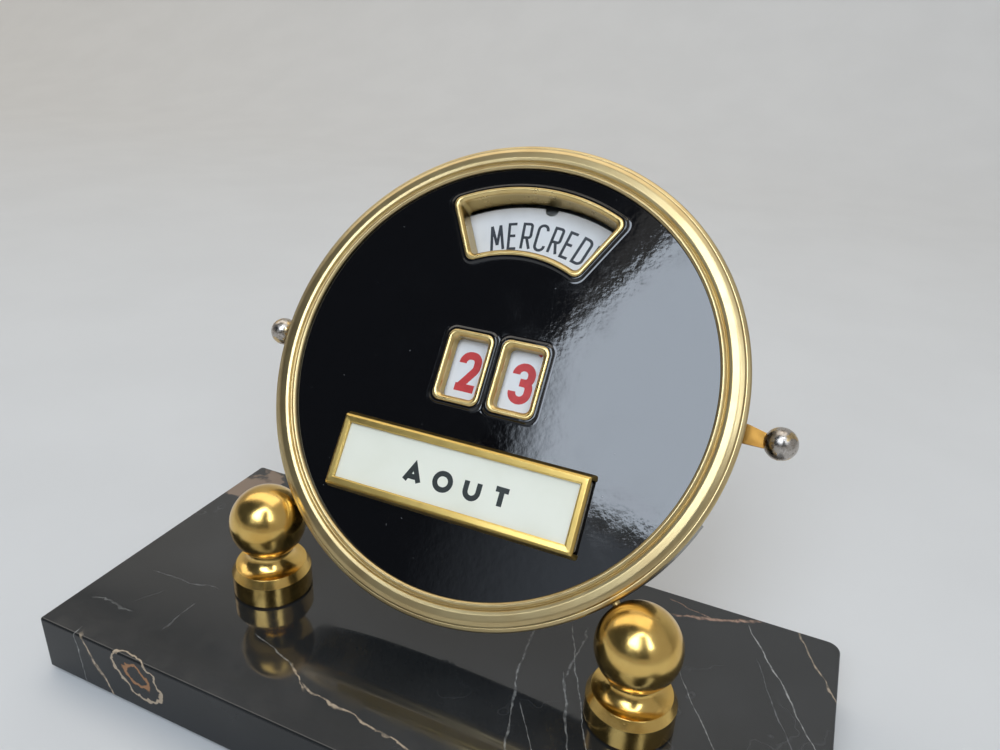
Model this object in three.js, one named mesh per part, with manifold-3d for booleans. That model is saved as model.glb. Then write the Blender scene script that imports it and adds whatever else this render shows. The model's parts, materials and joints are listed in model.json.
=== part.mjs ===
// Perpetual desk calendar: a round head leans back between two brass balls on a
// marble slab. Pressing the right lever advances the day of the month by one unit
// and the weekday by one day, the left lever advances the tens, and the month cards
// slide out of their frame. Millimetres, +Z up, front towards -Y, origin at the
// middle of the felt's underside.
import * as THREE from "three";
import { mergeVertices } from "three/addons/utils/BufferGeometryUtils.js";
import Module from "manifold-3d";

const wasm = await Module();
wasm.setup();

// ---------------------------------------------------------------- driving sizes

// Slab and felt
const slabLength = 150;
const slabDepth = 68;
const slabHeight = 12.6;
const slabCorner = 2.6;
const feltThickness = 0.8;
const feltInset = 2;
const glueGap = 0.05;

// Pedestals, balls and the screws through them
const ballRadius = 7.85;
const ballHeight = 16.45; // centre of a support ball above the slab
const ballBack = -3.9; // its place along Y
const collarRadius = 8.3;
const collarHeight = 4.9; // of its upright side
const collarChamfer = 0.95;
const collarChamferRise = 1.7;
const neckRadius = 3.8;
const baseScrewRadius = 1.5;
const baseScrewHeadRadius = 3.2;
const baseScrewHeadHeight = 2;
const counterboreDepth = 4;
const screwEndInBall = 1; // a base screw ends this far below the ball's centre

// Head
const leanBack = 35.2; // degrees from the vertical
const headRadius = 49.27; // outer edge of the bezel
const headDepth = 9.9; // face plate's front to the case's back
const supportAngle = 45.7; // degrees below the horizontal, where the balls hold the case
const supportDepth = 2; // depth of the ball centres behind the face
const caseSheet = 0.5;
const caseBackSheet = 0.7;
const caseCorner = 1.2;
const caseStepOut = 0.08; // the case stands this far outside the bezel's lip
const bezelSheet = 0.6;
const bezelWidth = 5.42;
const bezelRise = 1.15;
const bezelLip = 0.55;
const bezelSkirt = 3.3;
const faceThickness = 0.8;
const facePlateInBezel = 2.05; // overlap of the face plate's rim behind the bezel
const caseScrewRadius = 0.8;
const caseScrewHeadRadius = 1.6;
const caseScrewHeadHeight = 0.9;
const caseScrewInBall = 5.2;

// Windows
const windowLip = 0.9;
const windowLipRise = 0.35;
const windowWall = 0.4;
const digitWindowWidth = 10.2;
const digitWindowHeight = 15;
const digitWindowSpacing = 11.9;
const digitWindowMid = -0.25; // the pair's middle, above the dial centre
const windowCorner = 1.8;
const weekdayWindowInner = 24.65;
const weekdayWindowOuter = 39.7;
const weekdayWindowHalf = 29; // degrees either side of the top
const digitWindowDepth = 2.3;
const weekdayWindowDepth = 5.1;

// Month frame and cards
const cardWindowLength = 49.6;
const cardWindowHeight = 11.2;
const cardWindowX = -0.95;
const cardWindowY = -22.4;
const frameTopBar = 1.5;
const frameSlope = 0.85;
const frameRise = 2.4;
const frameRoof = 0.65;
const frameWall = 1.1;
const cardCount = 6;
const cardThickness = 0.21;
const cardPlay = 0.06;
const tabLength = 3;
const tabReach = 19; // tabs of the month frame, either side of its middle

// Mechanism, in the order in which it is stacked behind the face
const discThickness = 0.5;
const digitDiscFront = 2.66;
const digitRatchetFront = 3.3;
const digitRatchetThickness = 0.7;
const bridgeFront = 4.15;
const bridgeThickness = 0.7;
const weekdayDiscFront = 5.4;
const weekdayDiscThickness = 0.45;
const weekdayRatchetFront = 5.95;
const weekdayRatchetThickness = 0.4;
const driverFront = 6.45;
const driverThickness = 0.45;
const leverFront = 7;
const leverThickness = 0.6;
const plateFront = 8;
const plateThickness = 0.8;
const digitAxis = 24; // number discs and levers turn about points this far from the middle
const digitDiscRadius = 23.4;
const digitSteps = 10;
const weekdayDiscRadius = 37.74;
const weekdaySteps = 7;
const weekdayNotch = 1.5;
const weekdayTilt = -1.5; // the weekday disc rests this many degrees off the top
const weekdayFaceBehind = 15.5; // degrees from the driver's pawl post to the face that it pushes
const digitRatchetTip = 15.5;
const digitRatchetRoot = 13.3;
const weekdayRatchetTip = 7.6;
const weekdayRatchetRoot = 6.2;
const fingerWidth = 0.9;
const jumperWidth = 0.6;
const jumperPost = 1.3;
const arborRadius = 1.5;
const pillarRadius = 1.5;
const pillarInset = 6.35; // middle of a pillar inside the bezel's skirt
const windowPlay = 0.15; // between a frame or tab and its opening in the face plate
const arborCollar = 1.1; // how far an arbor's collar stands out
const pillarAngles = [50, 130, 270];
const backScrewRadius = 0.8;
const backScrewHeadRadius = 1.9;
const backScrewHeadHeight = 1;

// Levers
const leverBallOut = 6.05; // middle of a lever's ball outside the case
const leverBallRadius = 3.08;
const tabHalfWidth = 1.5;
const leverHub = 4;
const slotHigh = 7; // degrees, top of the lever slot round the case
const pawlPinReach = 18.3;
const pawlPinRadius = 0.9;
const driverPinRadius = 0.8;

// Fits
const runningGap = 0.1; // a shaft in the piece that turns on it
const sheetGap = 0.1; // thin pieces that lie on one another
const seatGap = 0.3; // a piece that rests on or in another
const screwGap = 0.1; // a screw's shank in the hole it goes through
const slidePlay = 0.2; // a card in its pocket, along its height

// --------------------------------------------------------------- derived sizes

const slabTop = feltThickness + glueGap + slabHeight;
const caseRadius = headRadius + caseStepOut;
const ballReach = caseRadius + seatGap + ballRadius;
const bezelInner = headRadius - bezelWidth;
const faceRadius = bezelInner + facePlateInBezel;
const skirtOuter = caseRadius - caseSheet - sheetGap;
const skirtInner = skirtOuter - bezelSheet;
const pillarReach = skirtInner - pillarInset;
const leverBallReach = caseRadius + leverBallOut;
const digitPitch = 360 / digitSteps;
const weekdayPitch = 360 / weekdaySteps;

const headSegments = 48; // flats round the head's large circles
const radians = THREE.MathUtils.degToRad;
const degrees = THREE.MathUtils.radToDeg;
const polar = (r, angle) => [r * Math.cos(radians(angle)), r * Math.sin(radians(angle))];

// The pin on the right lever turns the weekday driver. It works evenly to both sides
// of the line of centres, so a digit step of the lever gives a weekday step there.
const driverHalf = radians(weekdayPitch / 2);
const leverHalf = radians(digitPitch / 2);
const driverPinReach =
  (digitAxis * Math.tan(driverHalf)) /
  (Math.sin(leverHalf) + Math.cos(leverHalf) * Math.tan(driverHalf));

// ------------------------------------------------------------------- materials

const finish = (color, roughness, metalness) =>
  new THREE.MeshStandardMaterial({ color, roughness, metalness });
const marble = finish(0x1c1d1d, 0.12, 0);
const felt = finish(0x1f3d2c, 0.95, 0);
const polishedBrass = finish(0xd9a93f, 0.12, 1);
const satinBrass = finish(0xc9b071, 0.3, 1);
const blackLacquer = finish(0x0b0b0d, 0.08, 0.2);
const greySheet = finish(0x8b8c88, 0.3, 1);
const nickel = finish(0x9b948a, 0.28, 1);
const steel = finish(0x9fa3a6, 0.35, 1);
const whitePaint = finish(0xe7e8e6, 0.5, 0);
const ivoryCard = finish(0xe9ebe2, 0.6, 0);

// --------------------------------------------------------------- shape helpers

// A closed geometry as a manifold-3d solid.
function solidOf(geometry) {
  const bare = geometry.index ? geometry.toNonIndexed() : geometry.clone();
  bare.deleteAttribute("normal");
  bare.deleteAttribute("uv");
  const merged = mergeVertices(bare, 1e-4);
  const vertProperties = merged.attributes.position.array;
  const triVerts = new Uint32Array(merged.index.array);
  return new wasm.Manifold(new wasm.Mesh({ numProp: 3, vertProperties, triVerts }));
}

// A manifold-3d solid as a geometry for a mesh.
function geometryOf(solid) {
  const mesh = solid.getMesh();
  const geometry = new THREE.BufferGeometry();
  geometry.setAttribute("position", new THREE.BufferAttribute(mesh.vertProperties, 3));
  geometry.setIndex(new THREE.BufferAttribute(mesh.triVerts, 1));
  geometry.computeVertexNormals();
  return geometry;
}

function join(first, ...others) {
  return geometryOf(others.reduce((sum, other) => sum.add(solidOf(other)), solidOf(first)));
}

function cut(body, ...tools) {
  return geometryOf(tools.reduce((rest, tool) => rest.subtract(solidOf(tool)), solidOf(body)));
}

function common(first, second) {
  return geometryOf(solidOf(first).intersect(solidOf(second)));
}

// A flat piece whose outline lies in the dial's plane, from one depth behind the face
// to another. Depths grow towards the back; a negative one stands out in front.
function sheet(shape, frontDepth, thickness, curveSegments = 3) {
  const settings = { depth: thickness, bevelEnabled: false, curveSegments };
  return new THREE.ExtrudeGeometry(shape, settings).translate(0, 0, -frontDepth - thickness);
}

// A round piece turned about Z. Its profile lists [radius, height] and closes on itself.
function turned(profile, segments = 14) {
  const outline = profile.map(([r, z]) => new THREE.Vector2(r, z));
  const onAxis = profile[0][0] === 0 && profile[profile.length - 1][0] === 0;
  if (!onAxis) outline.push(outline[0].clone());
  return new THREE.LatheGeometry(outline, segments).rotateX(Math.PI / 2);
}

// A plain round bar along Z between two heights.
function bar(radius, low, high, segments = 14) {
  const height = high - low;
  const middle = (low + high) / 2;
  return new THREE.CylinderGeometry(radius, radius, height, segments)
    .rotateX(Math.PI / 2)
    .translate(0, 0, middle);
}

function block(x0, x1, y0, y1, z0, z1) {
  return new THREE.BoxGeometry(x1 - x0, y1 - y0, z1 - z0).translate(
    (x0 + x1) / 2,
    (y0 + y1) / 2,
    (z0 + z1) / 2,
  );
}

function polygon(points) {
  return new THREE.Shape(points.map(([x, y]) => new THREE.Vector2(x, y)));
}

function disc(radius, x = 0, y = 0, segments = 14) {
  const points = [];
  for (let i = 0; i < segments; i += 1) {
    const [dx, dy] = polar(radius, (360 * i) / segments);
    points.push([x + dx, y + dy]);
  }
  return polygon(points);
}

function roundedRectangle(width, height, corner, x = 0, y = 0) {
  const shape = new THREE.Shape();
  const w = width / 2 - corner;
  const h = height / 2 - corner;
  shape.absarc(x + w, y + h, corner, 0, Math.PI / 2, false);
  shape.absarc(x - w, y + h, corner, Math.PI / 2, Math.PI, false);
  shape.absarc(x - w, y - h, corner, Math.PI, 1.5 * Math.PI, false);
  shape.absarc(x + w, y - h, corner, 1.5 * Math.PI, 2 * Math.PI, false);
  return shape;
}

// A fan between two radii round the dial centre, with rounded corners, symmetrical
// about the vertical. Its straight sides stay parallel to the rays at plus and minus
// half, moved inwards by inset.
function fan(inner, outer, half, corner, inset = 0) {
  const shape = new THREE.Shape();
  const low = inner + corner;
  const high = outer - corner;
  const lean = (radius) => radians(half) - Math.asin((corner + inset) / radius);
  const up = Math.PI / 2;
  const at = (radius, angle) => [radius * Math.cos(angle), radius * Math.sin(angle)];
  const [rightLow, leftLow] = [up - lean(low), up + lean(low)];
  const [rightHigh, leftHigh] = [up - lean(high), up + lean(high)];
  const side = radians(half);
  shape.absarc(0, 0, outer, rightHigh, leftHigh, false);
  shape.absarc(...at(high, leftHigh), corner, leftHigh, up + side + up, false);
  shape.absarc(...at(low, leftLow), corner, up + side + up, leftLow + Math.PI, false);
  shape.absarc(0, 0, inner, leftLow, rightLow, true);
  shape.absarc(...at(low, rightLow), corner, rightLow + Math.PI, 2 * Math.PI - side, false);
  shape.absarc(...at(high, rightHigh), corner, -side, rightHigh, false);
  return shape;
}

// A strip of even width along straight stretches, such as a flat spring.
function strip(points, width) {
  const path = points.map(([x, y]) => new THREE.Vector2(x, y));
  const left = [];
  const right = [];
  path.forEach((point, i) => {
    const before = path[Math.max(i - 1, 0)];
    const after = path[Math.min(i + 1, path.length - 1)];
    const into = (i > 0 ? point.clone().sub(before) : after.clone().sub(point)).normalize();
    const out = (i < path.length - 1 ? after.clone().sub(point) : into.clone()).normalize();
    const normal = into.clone().add(out).normalize();
    normal.set(-normal.y, normal.x);
    const reach = width / 2 / Math.max(normal.dot(new THREE.Vector2(-into.y, into.x)), 0.5);
    left.push(point.clone().addScaledVector(normal, reach));
    right.push(point.clone().addScaledVector(normal, -reach));
  });
  return new THREE.Shape([...left, ...right.reverse()]);
}

// A ratchet wheel. Each tooth has a radial face, which a pawl pushes towards turn
// (+1 anticlockwise, -1 clockwise), and a slope over which the pawl returns.
function ratchetWheel(teeth, tip, root, faceAngle, turn, bore) {
  const points = [];
  for (let i = 0; i < teeth; i += 1) {
    const angle = faceAngle - (turn * i * 360) / teeth;
    points.push(polar(tip, angle), polar(root, angle));
  }
  const shape = polygon(points);
  shape.holes.push(disc(bore));
  return shape;
}

const mirrorX = (points, side) => points.map(([x, y]) => [side * x, y]);

// -------------------------------------------------------------- scene and groups

const calendar = new THREE.Group();
const head = new THREE.Group();
calendar.add(head);

function add(group, name, geometry, material, x = 0, y = 0, z = 0) {
  const mesh = new THREE.Mesh(geometry, material);
  mesh.name = name;
  mesh.position.set(x, y, z);
  group.add(mesh);
  return mesh;
}

// The head stands so that the support balls touch its case at the support angle.
const [ballX, ballInPlane] = polar(ballReach, -supportAngle);
head.rotation.x = radians(90 - leanBack);
const fromHead = new THREE.Vector3(0, ballInPlane, -supportDepth).applyEuler(head.rotation);
head.position.set(0, ballBack - fromHead.y, slabTop + ballHeight - fromHead.z);

const sides = [
  { word: "left", side: -1 },
  { word: "right", side: 1 },
];

// ------------------------------------------------------------------------- slab

const slabOutline = roundedRectangle(slabLength, slabDepth, slabCorner);
const slabBottom = feltThickness + glueGap;
const slabHoles = sides.flatMap(({ side }) => [
  bar(baseScrewRadius + 2 * screwGap, 0, slabTop + 1).translate(side * ballX, ballBack, 0),
  bar(baseScrewHeadRadius + 1, 0, slabBottom + counterboreDepth).translate(side * ballX, ballBack, 0),
]);
const slabBlock = sheet(slabOutline, -slabTop, slabHeight, 2);
add(calendar, "marble_base", cut(slabBlock, ...slabHoles), marble);

const feltOutline = roundedRectangle(slabLength - 2 * feltInset, slabDepth - 2 * feltInset, slabCorner);
add(calendar, "felt_pad", sheet(feltOutline, -feltThickness, feltThickness, 2), felt);

// ---------------------------------------------------- pedestals, balls and screws

// The neck ends in a cup that follows the ball at the seat gap.
function pedestalProfile() {
  const bore = baseScrewRadius + screwGap;
  const dishSteps = 6;
  const cupSteps = 3;
  const cup = ballRadius + seatGap;
  const cupHeight = (r) => ballHeight - Math.sqrt(cup * cup - r * r);
  const rim = [collarRadius - collarChamfer, collarHeight + collarChamferRise];
  const neck = [neckRadius, cupHeight(neckRadius)];
  const profile = [
    [bore, 0],
    [collarRadius, 0],
    [collarRadius, collarHeight],
  ];
  for (let i = 0; i <= dishSteps; i += 1) {
    const turn = (Math.PI / 2) * (i / dishSteps);
    const r = neck[0] + (rim[0] - neck[0]) * (1 - Math.sin(turn));
    const z = rim[1] + (neck[1] - rim[1]) * (1 - Math.cos(turn));
    profile.push([r, z]);
  }
  for (let i = 1; i <= cupSteps; i += 1) {
    const r = neckRadius + ((bore - neckRadius) * i) / cupSteps;
    profile.push([r, cupHeight(r)]);
  }
  return profile;
}

// A cheese-head screw along +Z: its shank runs from 0 to length, its head below 0.
function screw(shank, length, headRadius, headHeight) {
  const slotWidth = headRadius * 0.3;
  const slotDepth = headHeight * 0.45;
  const body = turned([
    [0, -headHeight],
    [headRadius, -headHeight],
    [headRadius, 0],
    [shank, 0],
    [shank, length],
    [0, length],
  ]);
  const slot = block(
    -headRadius - 1, headRadius + 1,
    -slotWidth / 2, slotWidth / 2,
    -headHeight - 1, slotDepth - headHeight,
  );
  return cut(body, slot);
}

const ballTop = slabTop + ballHeight;
const upwards = new THREE.Vector3(0, 0, 1);
for (const { word, side } of sides) {
  const x = side * ballX;
  add(calendar, `${word}_pedestal`, turned(pedestalProfile(), 28), polishedBrass, x, ballBack, slabTop);

  const headZ = slabBottom + counterboreDepth;
  const baseScrew = screw(
    baseScrewRadius,
    ballTop - screwEndInBall - headZ,
    baseScrewHeadRadius,
    baseScrewHeadHeight,
  );
  add(calendar, `${word}_base_screw`, baseScrew, steel, x, ballBack, headZ);

  // The ball's two threaded holes: one upwards from its foot, one towards the head.
  const upHole = bar(baseScrewRadius + screwGap, -ballRadius - 1, -screwEndInBall + seatGap);
  const sideHole = bar(caseScrewRadius + screwGap, ballRadius - caseScrewInBall - seatGap, ballRadius + 1);
  const inward = new THREE.Vector3(-side * ballX, -ballInPlane, 0).normalize();
  inward.applyEuler(head.rotation);
  sideHole.applyQuaternion(new THREE.Quaternion().setFromUnitVectors(upwards, inward));
  const ball = new THREE.SphereGeometry(ballRadius, 24, 16).rotateX(Math.PI / 2);
  add(calendar, `${word}_ball`, cut(ball, upHole, sideHole), polishedBrass, x, ballBack, ballTop);
}

// ------------------------------------------------------------------------- case

// Top edge of the lever slot is a free choice. Its bottom edge clears the lever's tab
// when the lever is pressed right down.
function slotLow() {
  const press = radians(digitPitch);
  const edge = new THREE.Vector2(digitAxis, 0);
  edge.add(new THREE.Vector2(-Math.sin(press), -Math.cos(press)).multiplyScalar(tabHalfWidth));
  const along = new THREE.Vector2(Math.cos(press), -Math.sin(press));
  const b = edge.dot(along);
  const reach = -b + Math.sqrt(b * b - edge.lengthSq() + caseRadius * caseRadius);
  const corner = edge.addScaledVector(along, reach);
  return degrees(Math.atan2(corner.y, corner.x)) - degrees(seatGap / caseRadius);
}

function ringSector(inner, outer, from, to, side) {
  const steps = 8;
  const points = [];
  for (let i = 0; i <= steps; i += 1) points.push(polar(outer, from + ((to - from) * i) / steps));
  for (let i = steps; i >= 0; i -= 1) points.push(polar(inner, from + ((to - from) * i) / steps));
  return polygon(mirrorX(points, side));
}

// A round hole or bar along the ray at the support angle, between two radii.
function supportBar(radius, from, to, side, segments = 12) {
  const angle = side > 0 ? -supportAngle : 180 + supportAngle;
  return new THREE.CylinderGeometry(radius, radius, to - from, segments)
    .translate(0, (from + to) / 2, 0)
    .rotateZ(radians(angle - 90))
    .translate(0, 0, -supportDepth);
}

const caseFront = bezelLip + bezelSheet / 2 + sheetGap;

function rearCase() {
  const inner = caseRadius - caseSheet;
  const cornerSteps = 4;
  const profile = [
    [0, -headDepth],
    [caseRadius - caseCorner, -headDepth],
  ];
  for (let i = 1; i <= cornerSteps; i += 1) {
    const [r, z] = polar(caseCorner, -90 + (90 * i) / cornerSteps);
    profile.push([caseRadius - caseCorner + r, caseCorner - headDepth + z]);
  }
  profile.push([caseRadius, -caseFront], [inner, -caseFront]);
  profile.push([inner, caseBackSheet + 0.5 - headDepth], [inner - 0.5, caseBackSheet - headDepth]);
  profile.push([0, caseBackSheet - headDepth]);
  const slots = sides.map(({ side }) =>
    sheet(ringSector(skirtInner, caseRadius + 2, slotHigh, slotLow(), side), 0, headDepth + 1),
  );
  const screwHoles = pillarAngles.map((angle) =>
    bar(backScrewRadius + screwGap, -headDepth - 1, 0).translate(...polar(pillarReach, angle), 0),
  );
  const ballHoles = sides.map(({ side }) =>
    supportBar(caseScrewRadius + screwGap, skirtInner - 1, caseRadius + 1, side),
  );
  return cut(turned(profile, headSegments), ...slots, ...screwHoles, ...ballHoles);
}

add(head, "rear_case", rearCase(), greySheet);

// ------------------------------------------------------------------------ bezel

// From the bead round the dial, over the broad convex band, to the lip on the case's
// edge, and back along the skirt inside the case.
function bezel() {
  const bead = bezelInner;
  const band = bead + 2.05;
  const under = bezelSheet / 2 + sheetGap;
  const lipBack = -bezelLip - bezelSheet / 2;
  const profile = [
    [bead, sheetGap],
    [skirtInner, -bezelLip],
    [skirtInner, lipBack - bezelSkirt],
    [skirtOuter, lipBack - bezelSkirt],
    [skirtOuter, lipBack],
    [headRadius, lipBack],
    [headRadius, lipBack + 0.5],
    [headRadius - 0.8, 0.35],
    [headRadius - 1.7, bezelRise - 0.2],
    [headRadius - 2.7, bezelRise],
    [band, bezelRise - 0.1],
    [band - 0.8, 0.25],
    [bead + 0.55, 0.8],
    [bead + 0.05, 0.5],
  ];
  profile.splice(1, 0, [faceRadius + 0.2, sheetGap], [faceRadius + 0.4, under]);
  const holes = sides.map(({ side }) =>
    supportBar(caseScrewRadius + screwGap, skirtInner - 1, skirtOuter + 1, side),
  );
  return cut(turned(profile, headSegments), ...holes);
}

add(head, "bezel", bezel(), satinBrass);

for (const { word, side } of sides) {
  const angle = side > 0 ? -supportAngle : 180 + supportAngle;
  const seat = skirtInner * Math.cos(Math.PI / headSegments) - sheetGap / 2;
  const end = ballReach - ballRadius + caseScrewInBall;
  const body = screw(caseScrewRadius, end - seat, caseScrewHeadRadius, caseScrewHeadHeight);
  body.rotateX(-Math.PI / 2).translate(0, seat, 0).rotateZ(radians(angle - 90));
  add(head, `${word}_case_screw`, body, steel, 0, 0, -supportDepth);
}

// ---------------------------------------------------- face plate and its windows

const hole = 2 * (windowWall - windowLip + windowPlay); // opening in the face plate, past the lip
const digitHole = [digitWindowWidth + hole, digitWindowHeight + hole];
const frameMid = [cardWindowX, cardWindowY];
const frameTop = [cardWindowLength + 2 * frameTopBar, cardWindowHeight + 2 * frameTopBar];
const frameFoot = [frameTop[0] + 2 * frameSlope, frameTop[1] + 2 * frameSlope];
const tabY = frameFoot[1] / 2 - frameWall / 2;
const tabs = [-1, 1].flatMap((across) => [-1, 1].map((up) => [across * tabReach, up * tabY]));

function facePlate() {
  const shape = disc(faceRadius, 0, 0, headSegments);
  for (const { side } of sides) {
    const x = (side * digitWindowSpacing) / 2;
    shape.holes.push(roundedRectangle(...digitHole, windowCorner - 0.3, x, digitWindowMid));
  }
  const inset = windowLip - windowWall - windowPlay;
  shape.holes.push(
    fan(weekdayWindowInner + inset, weekdayWindowOuter - inset, weekdayWindowHalf, windowCorner, inset),
  );
  const tabSlots = tabs.map(([x, y]) => {
    const [midX, midY] = [frameMid[0] + x, frameMid[1] + y];
    const half = tabLength / 2 + windowPlay;
    return block(midX - half, midX + half, midY - 0.5, midY + 0.5, -faceThickness - 1, 1);
  });
  return cut(sheet(shape, 0, faceThickness), ...tabSlots);
}

add(head, "face_plate", facePlate(), blackLacquer);

// A window frame is a lip on the face and a straight wall behind it. Each outline is
// given by how far it lies inside the lip's outer edge.
function windowFrame(outline, depth) {
  const lip = outline(0);
  lip.holes.push(outline(windowLip));
  const wall = outline(windowLip - windowWall);
  wall.holes.push(outline(windowLip));
  const lipFront = -sheetGap / 2 - windowLipRise;
  return join(sheet(lip, lipFront, windowLipRise), sheet(wall, lipFront + 0.1, depth - lipFront - 0.1));
}

for (const [name, side] of [["tens_window_frame", -1], ["units_window_frame", 1]]) {
  const x = (side * digitWindowSpacing) / 2;
  const outline = (inset) =>
    roundedRectangle(
      digitWindowWidth - 2 * inset,
      digitWindowHeight - 2 * inset,
      windowCorner - inset / 2,
      x,
      digitWindowMid,
    );
  add(head, name, windowFrame(outline, digitWindowDepth), satinBrass);
}

const weekdayOutline = (inset) =>
  fan(
    weekdayWindowInner + inset,
    weekdayWindowOuter - inset,
    weekdayWindowHalf,
    windowCorner - inset / 2,
    inset,
  );
add(head, "weekday_window_frame", windowFrame(weekdayOutline, weekdayWindowDepth), satinBrass);

// -------------------------------------------------------- month frame and cards

const pocketHeight = frameFoot[1] - 2 * frameWall;
const pocketLeft = frameWall - frameFoot[0] / 2;

// A frame with sloping outer walls. The cards lie in a pocket under its roof, which is
// open at the right-hand end, and four tabs go through the face plate.
function monthFrame() {
  const [topX, topY] = [frameTop[0] / 2, frameTop[1] / 2];
  const rectangle = polygon([[-topX, -topY], [topX, -topY], [topX, topY], [-topX, topY]]);
  const slopes = new THREE.ExtrudeGeometry(rectangle, {
    depth: 0.1,
    bevelEnabled: true,
    bevelSegments: 1,
    bevelThickness: frameRise,
    bevelSize: frameSlope,
    bevelOffset: 0,
    curveSegments: 1,
  });
  const above = block(-60, 60, -20, 20, 0, frameRise);
  const body = common(slopes, above.translate(0, 0, 0.1)).translate(0, 0, sheetGap / 2 - 0.1);
  const opening = block(
    -cardWindowLength / 2, cardWindowLength / 2,
    -cardWindowHeight / 2, cardWindowHeight / 2,
    -1, frameRise + 1,
  );
  const pocket = block(
    pocketLeft, frameFoot[0],
    -pocketHeight / 2, pocketHeight / 2,
    -1, frameRise - frameRoof,
  );
  const feet = tabs.map(([x, y]) =>
    block(x - tabLength / 2, x + tabLength / 2, y - 0.3, y + 0.3, -faceThickness - 0.7, 0.3),
  );
  return join(cut(body, opening, pocket), ...feet);
}

add(head, "month_frame", monthFrame(), satinBrass, ...frameMid, 0);

const cardLength = frameFoot[0] - frameWall - frameSlope;
const cardHeight = pocketHeight - 2 * slidePlay;
for (let i = 0; i < cardCount; i += 1) {
  const top = frameRise - frameRoof - cardPlay - i * (cardThickness + cardPlay);
  const left = pocketLeft + slidePlay;
  const card = block(left, left + cardLength, -cardHeight / 2, cardHeight / 2, top - cardThickness, top);
  add(head, `month_card_${i + 1}`, card, ivoryCard, ...frameMid, 0);
}

// ------------------------------------------------------- plates, pillars, screws

const plateRadius = pillarReach + pillarRadius + 0.6;
const threadHole = backScrewRadius + screwGap;

function platePiercings(shape, ...bores) {
  for (const angle of pillarAngles) {
    shape.holes.push(disc(threadHole + screwGap, ...polar(pillarReach, angle)));
  }
  for (const [radius, x] of bores) shape.holes.push(disc(radius, x, 0));
  return shape;
}

const studHole = arborRadius - 0.3 + screwGap;

// The bridge is open where the weekday window's wall passes, and at each side where
// the pawl pins move.
function bridgePlate() {
  const bores = [[arborRadius + runningGap, 0], [studHole, -digitAxis], [studHole, digitAxis]];
  const shape = platePiercings(disc(plateRadius, 0, 0, headSegments), ...bores);
  const room = windowLip - windowWall - seatGap;
  const fanOpening = fan(
    weekdayWindowInner + room,
    weekdayWindowOuter - room,
    weekdayWindowHalf,
    windowCorner,
    room,
  );
  const plate = sheet(shape, bridgeFront, bridgeThickness);
  const sweep = pawlPinReach + pawlPinRadius;
  const inner = digitAxis + (pawlPinReach - pawlPinRadius) * Math.cos(radians(digitPitch)) - 1.2;
  const low = -sweep * Math.sin(radians(digitPitch)) - 3;
  const sideOpenings = sides.map(({ side }) =>
    block(...[side * inner, side * (plateRadius + 5)].sort((a, b) => a - b), low, 5, -10, 0),
  );
  return cut(plate, sheet(fanOpening, bridgeFront - 1, bridgeThickness + 2), ...sideOpenings);
}

add(head, "bridge_plate", bridgePlate(), steel);

const mechanismBores = [
  [arborRadius + screwGap, 0],
  [arborRadius + screwGap, -digitAxis],
  [arborRadius + screwGap, digitAxis],
];
const mechanismShape = platePiercings(disc(plateRadius, 0, 0, headSegments), ...mechanismBores);
add(head, "mechanism_plate", sheet(mechanismShape, plateFront, plateThickness), steel);

pillarAngles.forEach((angle, i) => {
  const [x, y] = polar(pillarReach, angle);
  const pillarFront = faceThickness + sheetGap;
  const pillarBack = bridgeFront - sheetGap;
  const screwFront = pillarFront + 0.9;
  const pillar = turned([
    [0, -pillarBack + (pillarBack - screwFront) + 0.3],
    [threadHole, -screwFront + 0.3],
    [threadHole, -pillarBack],
    [pillarRadius, -pillarBack],
    [pillarRadius, -pillarFront],
    [0, -pillarFront],
  ]);
  add(head, `front_pillar_${i + 1}`, pillar, steel, x, y, 0);

  const spacerFront = bridgeFront + bridgeThickness + sheetGap;
  const spacerBack = plateFront - sheetGap;
  const spacer = turned([
    [threadHole, -spacerBack],
    [pillarRadius + 0.1, -spacerBack],
    [pillarRadius + 0.1, -spacerFront],
    [threadHole, -spacerFront],
  ]);
  add(head, `spacer_${i + 1}`, spacer, steel, x, y, 0);

  const seat = headDepth + sheetGap / 2;
  const body = screw(backScrewRadius, seat - screwFront, backScrewHeadRadius, backScrewHeadHeight);
  add(head, `back_screw_${i + 1}`, body.rotateZ(radians(angle)), steel, x, y, -seat);
});

// ------------------------------------------------------------ arbors and studs

// The centre arbor stands on the mechanism plate, and its tip runs in the bridge.
const collarRing = arborRadius + arborCollar;
add(head, "centre_arbor", turned([
  [0, 0.1 - plateFront - plateThickness],
  [arborRadius, 0.1 - plateFront - plateThickness],
  [arborRadius, sheetGap - plateFront],
  [collarRing, sheetGap - plateFront],
  [collarRing, -driverFront - driverThickness - sheetGap],
  [arborRadius, -driverFront - driverThickness - sheetGap],
  [arborRadius, -bridgeFront - 0.15],
  [0, -bridgeFront - 0.15],
], 18), steel);

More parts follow.
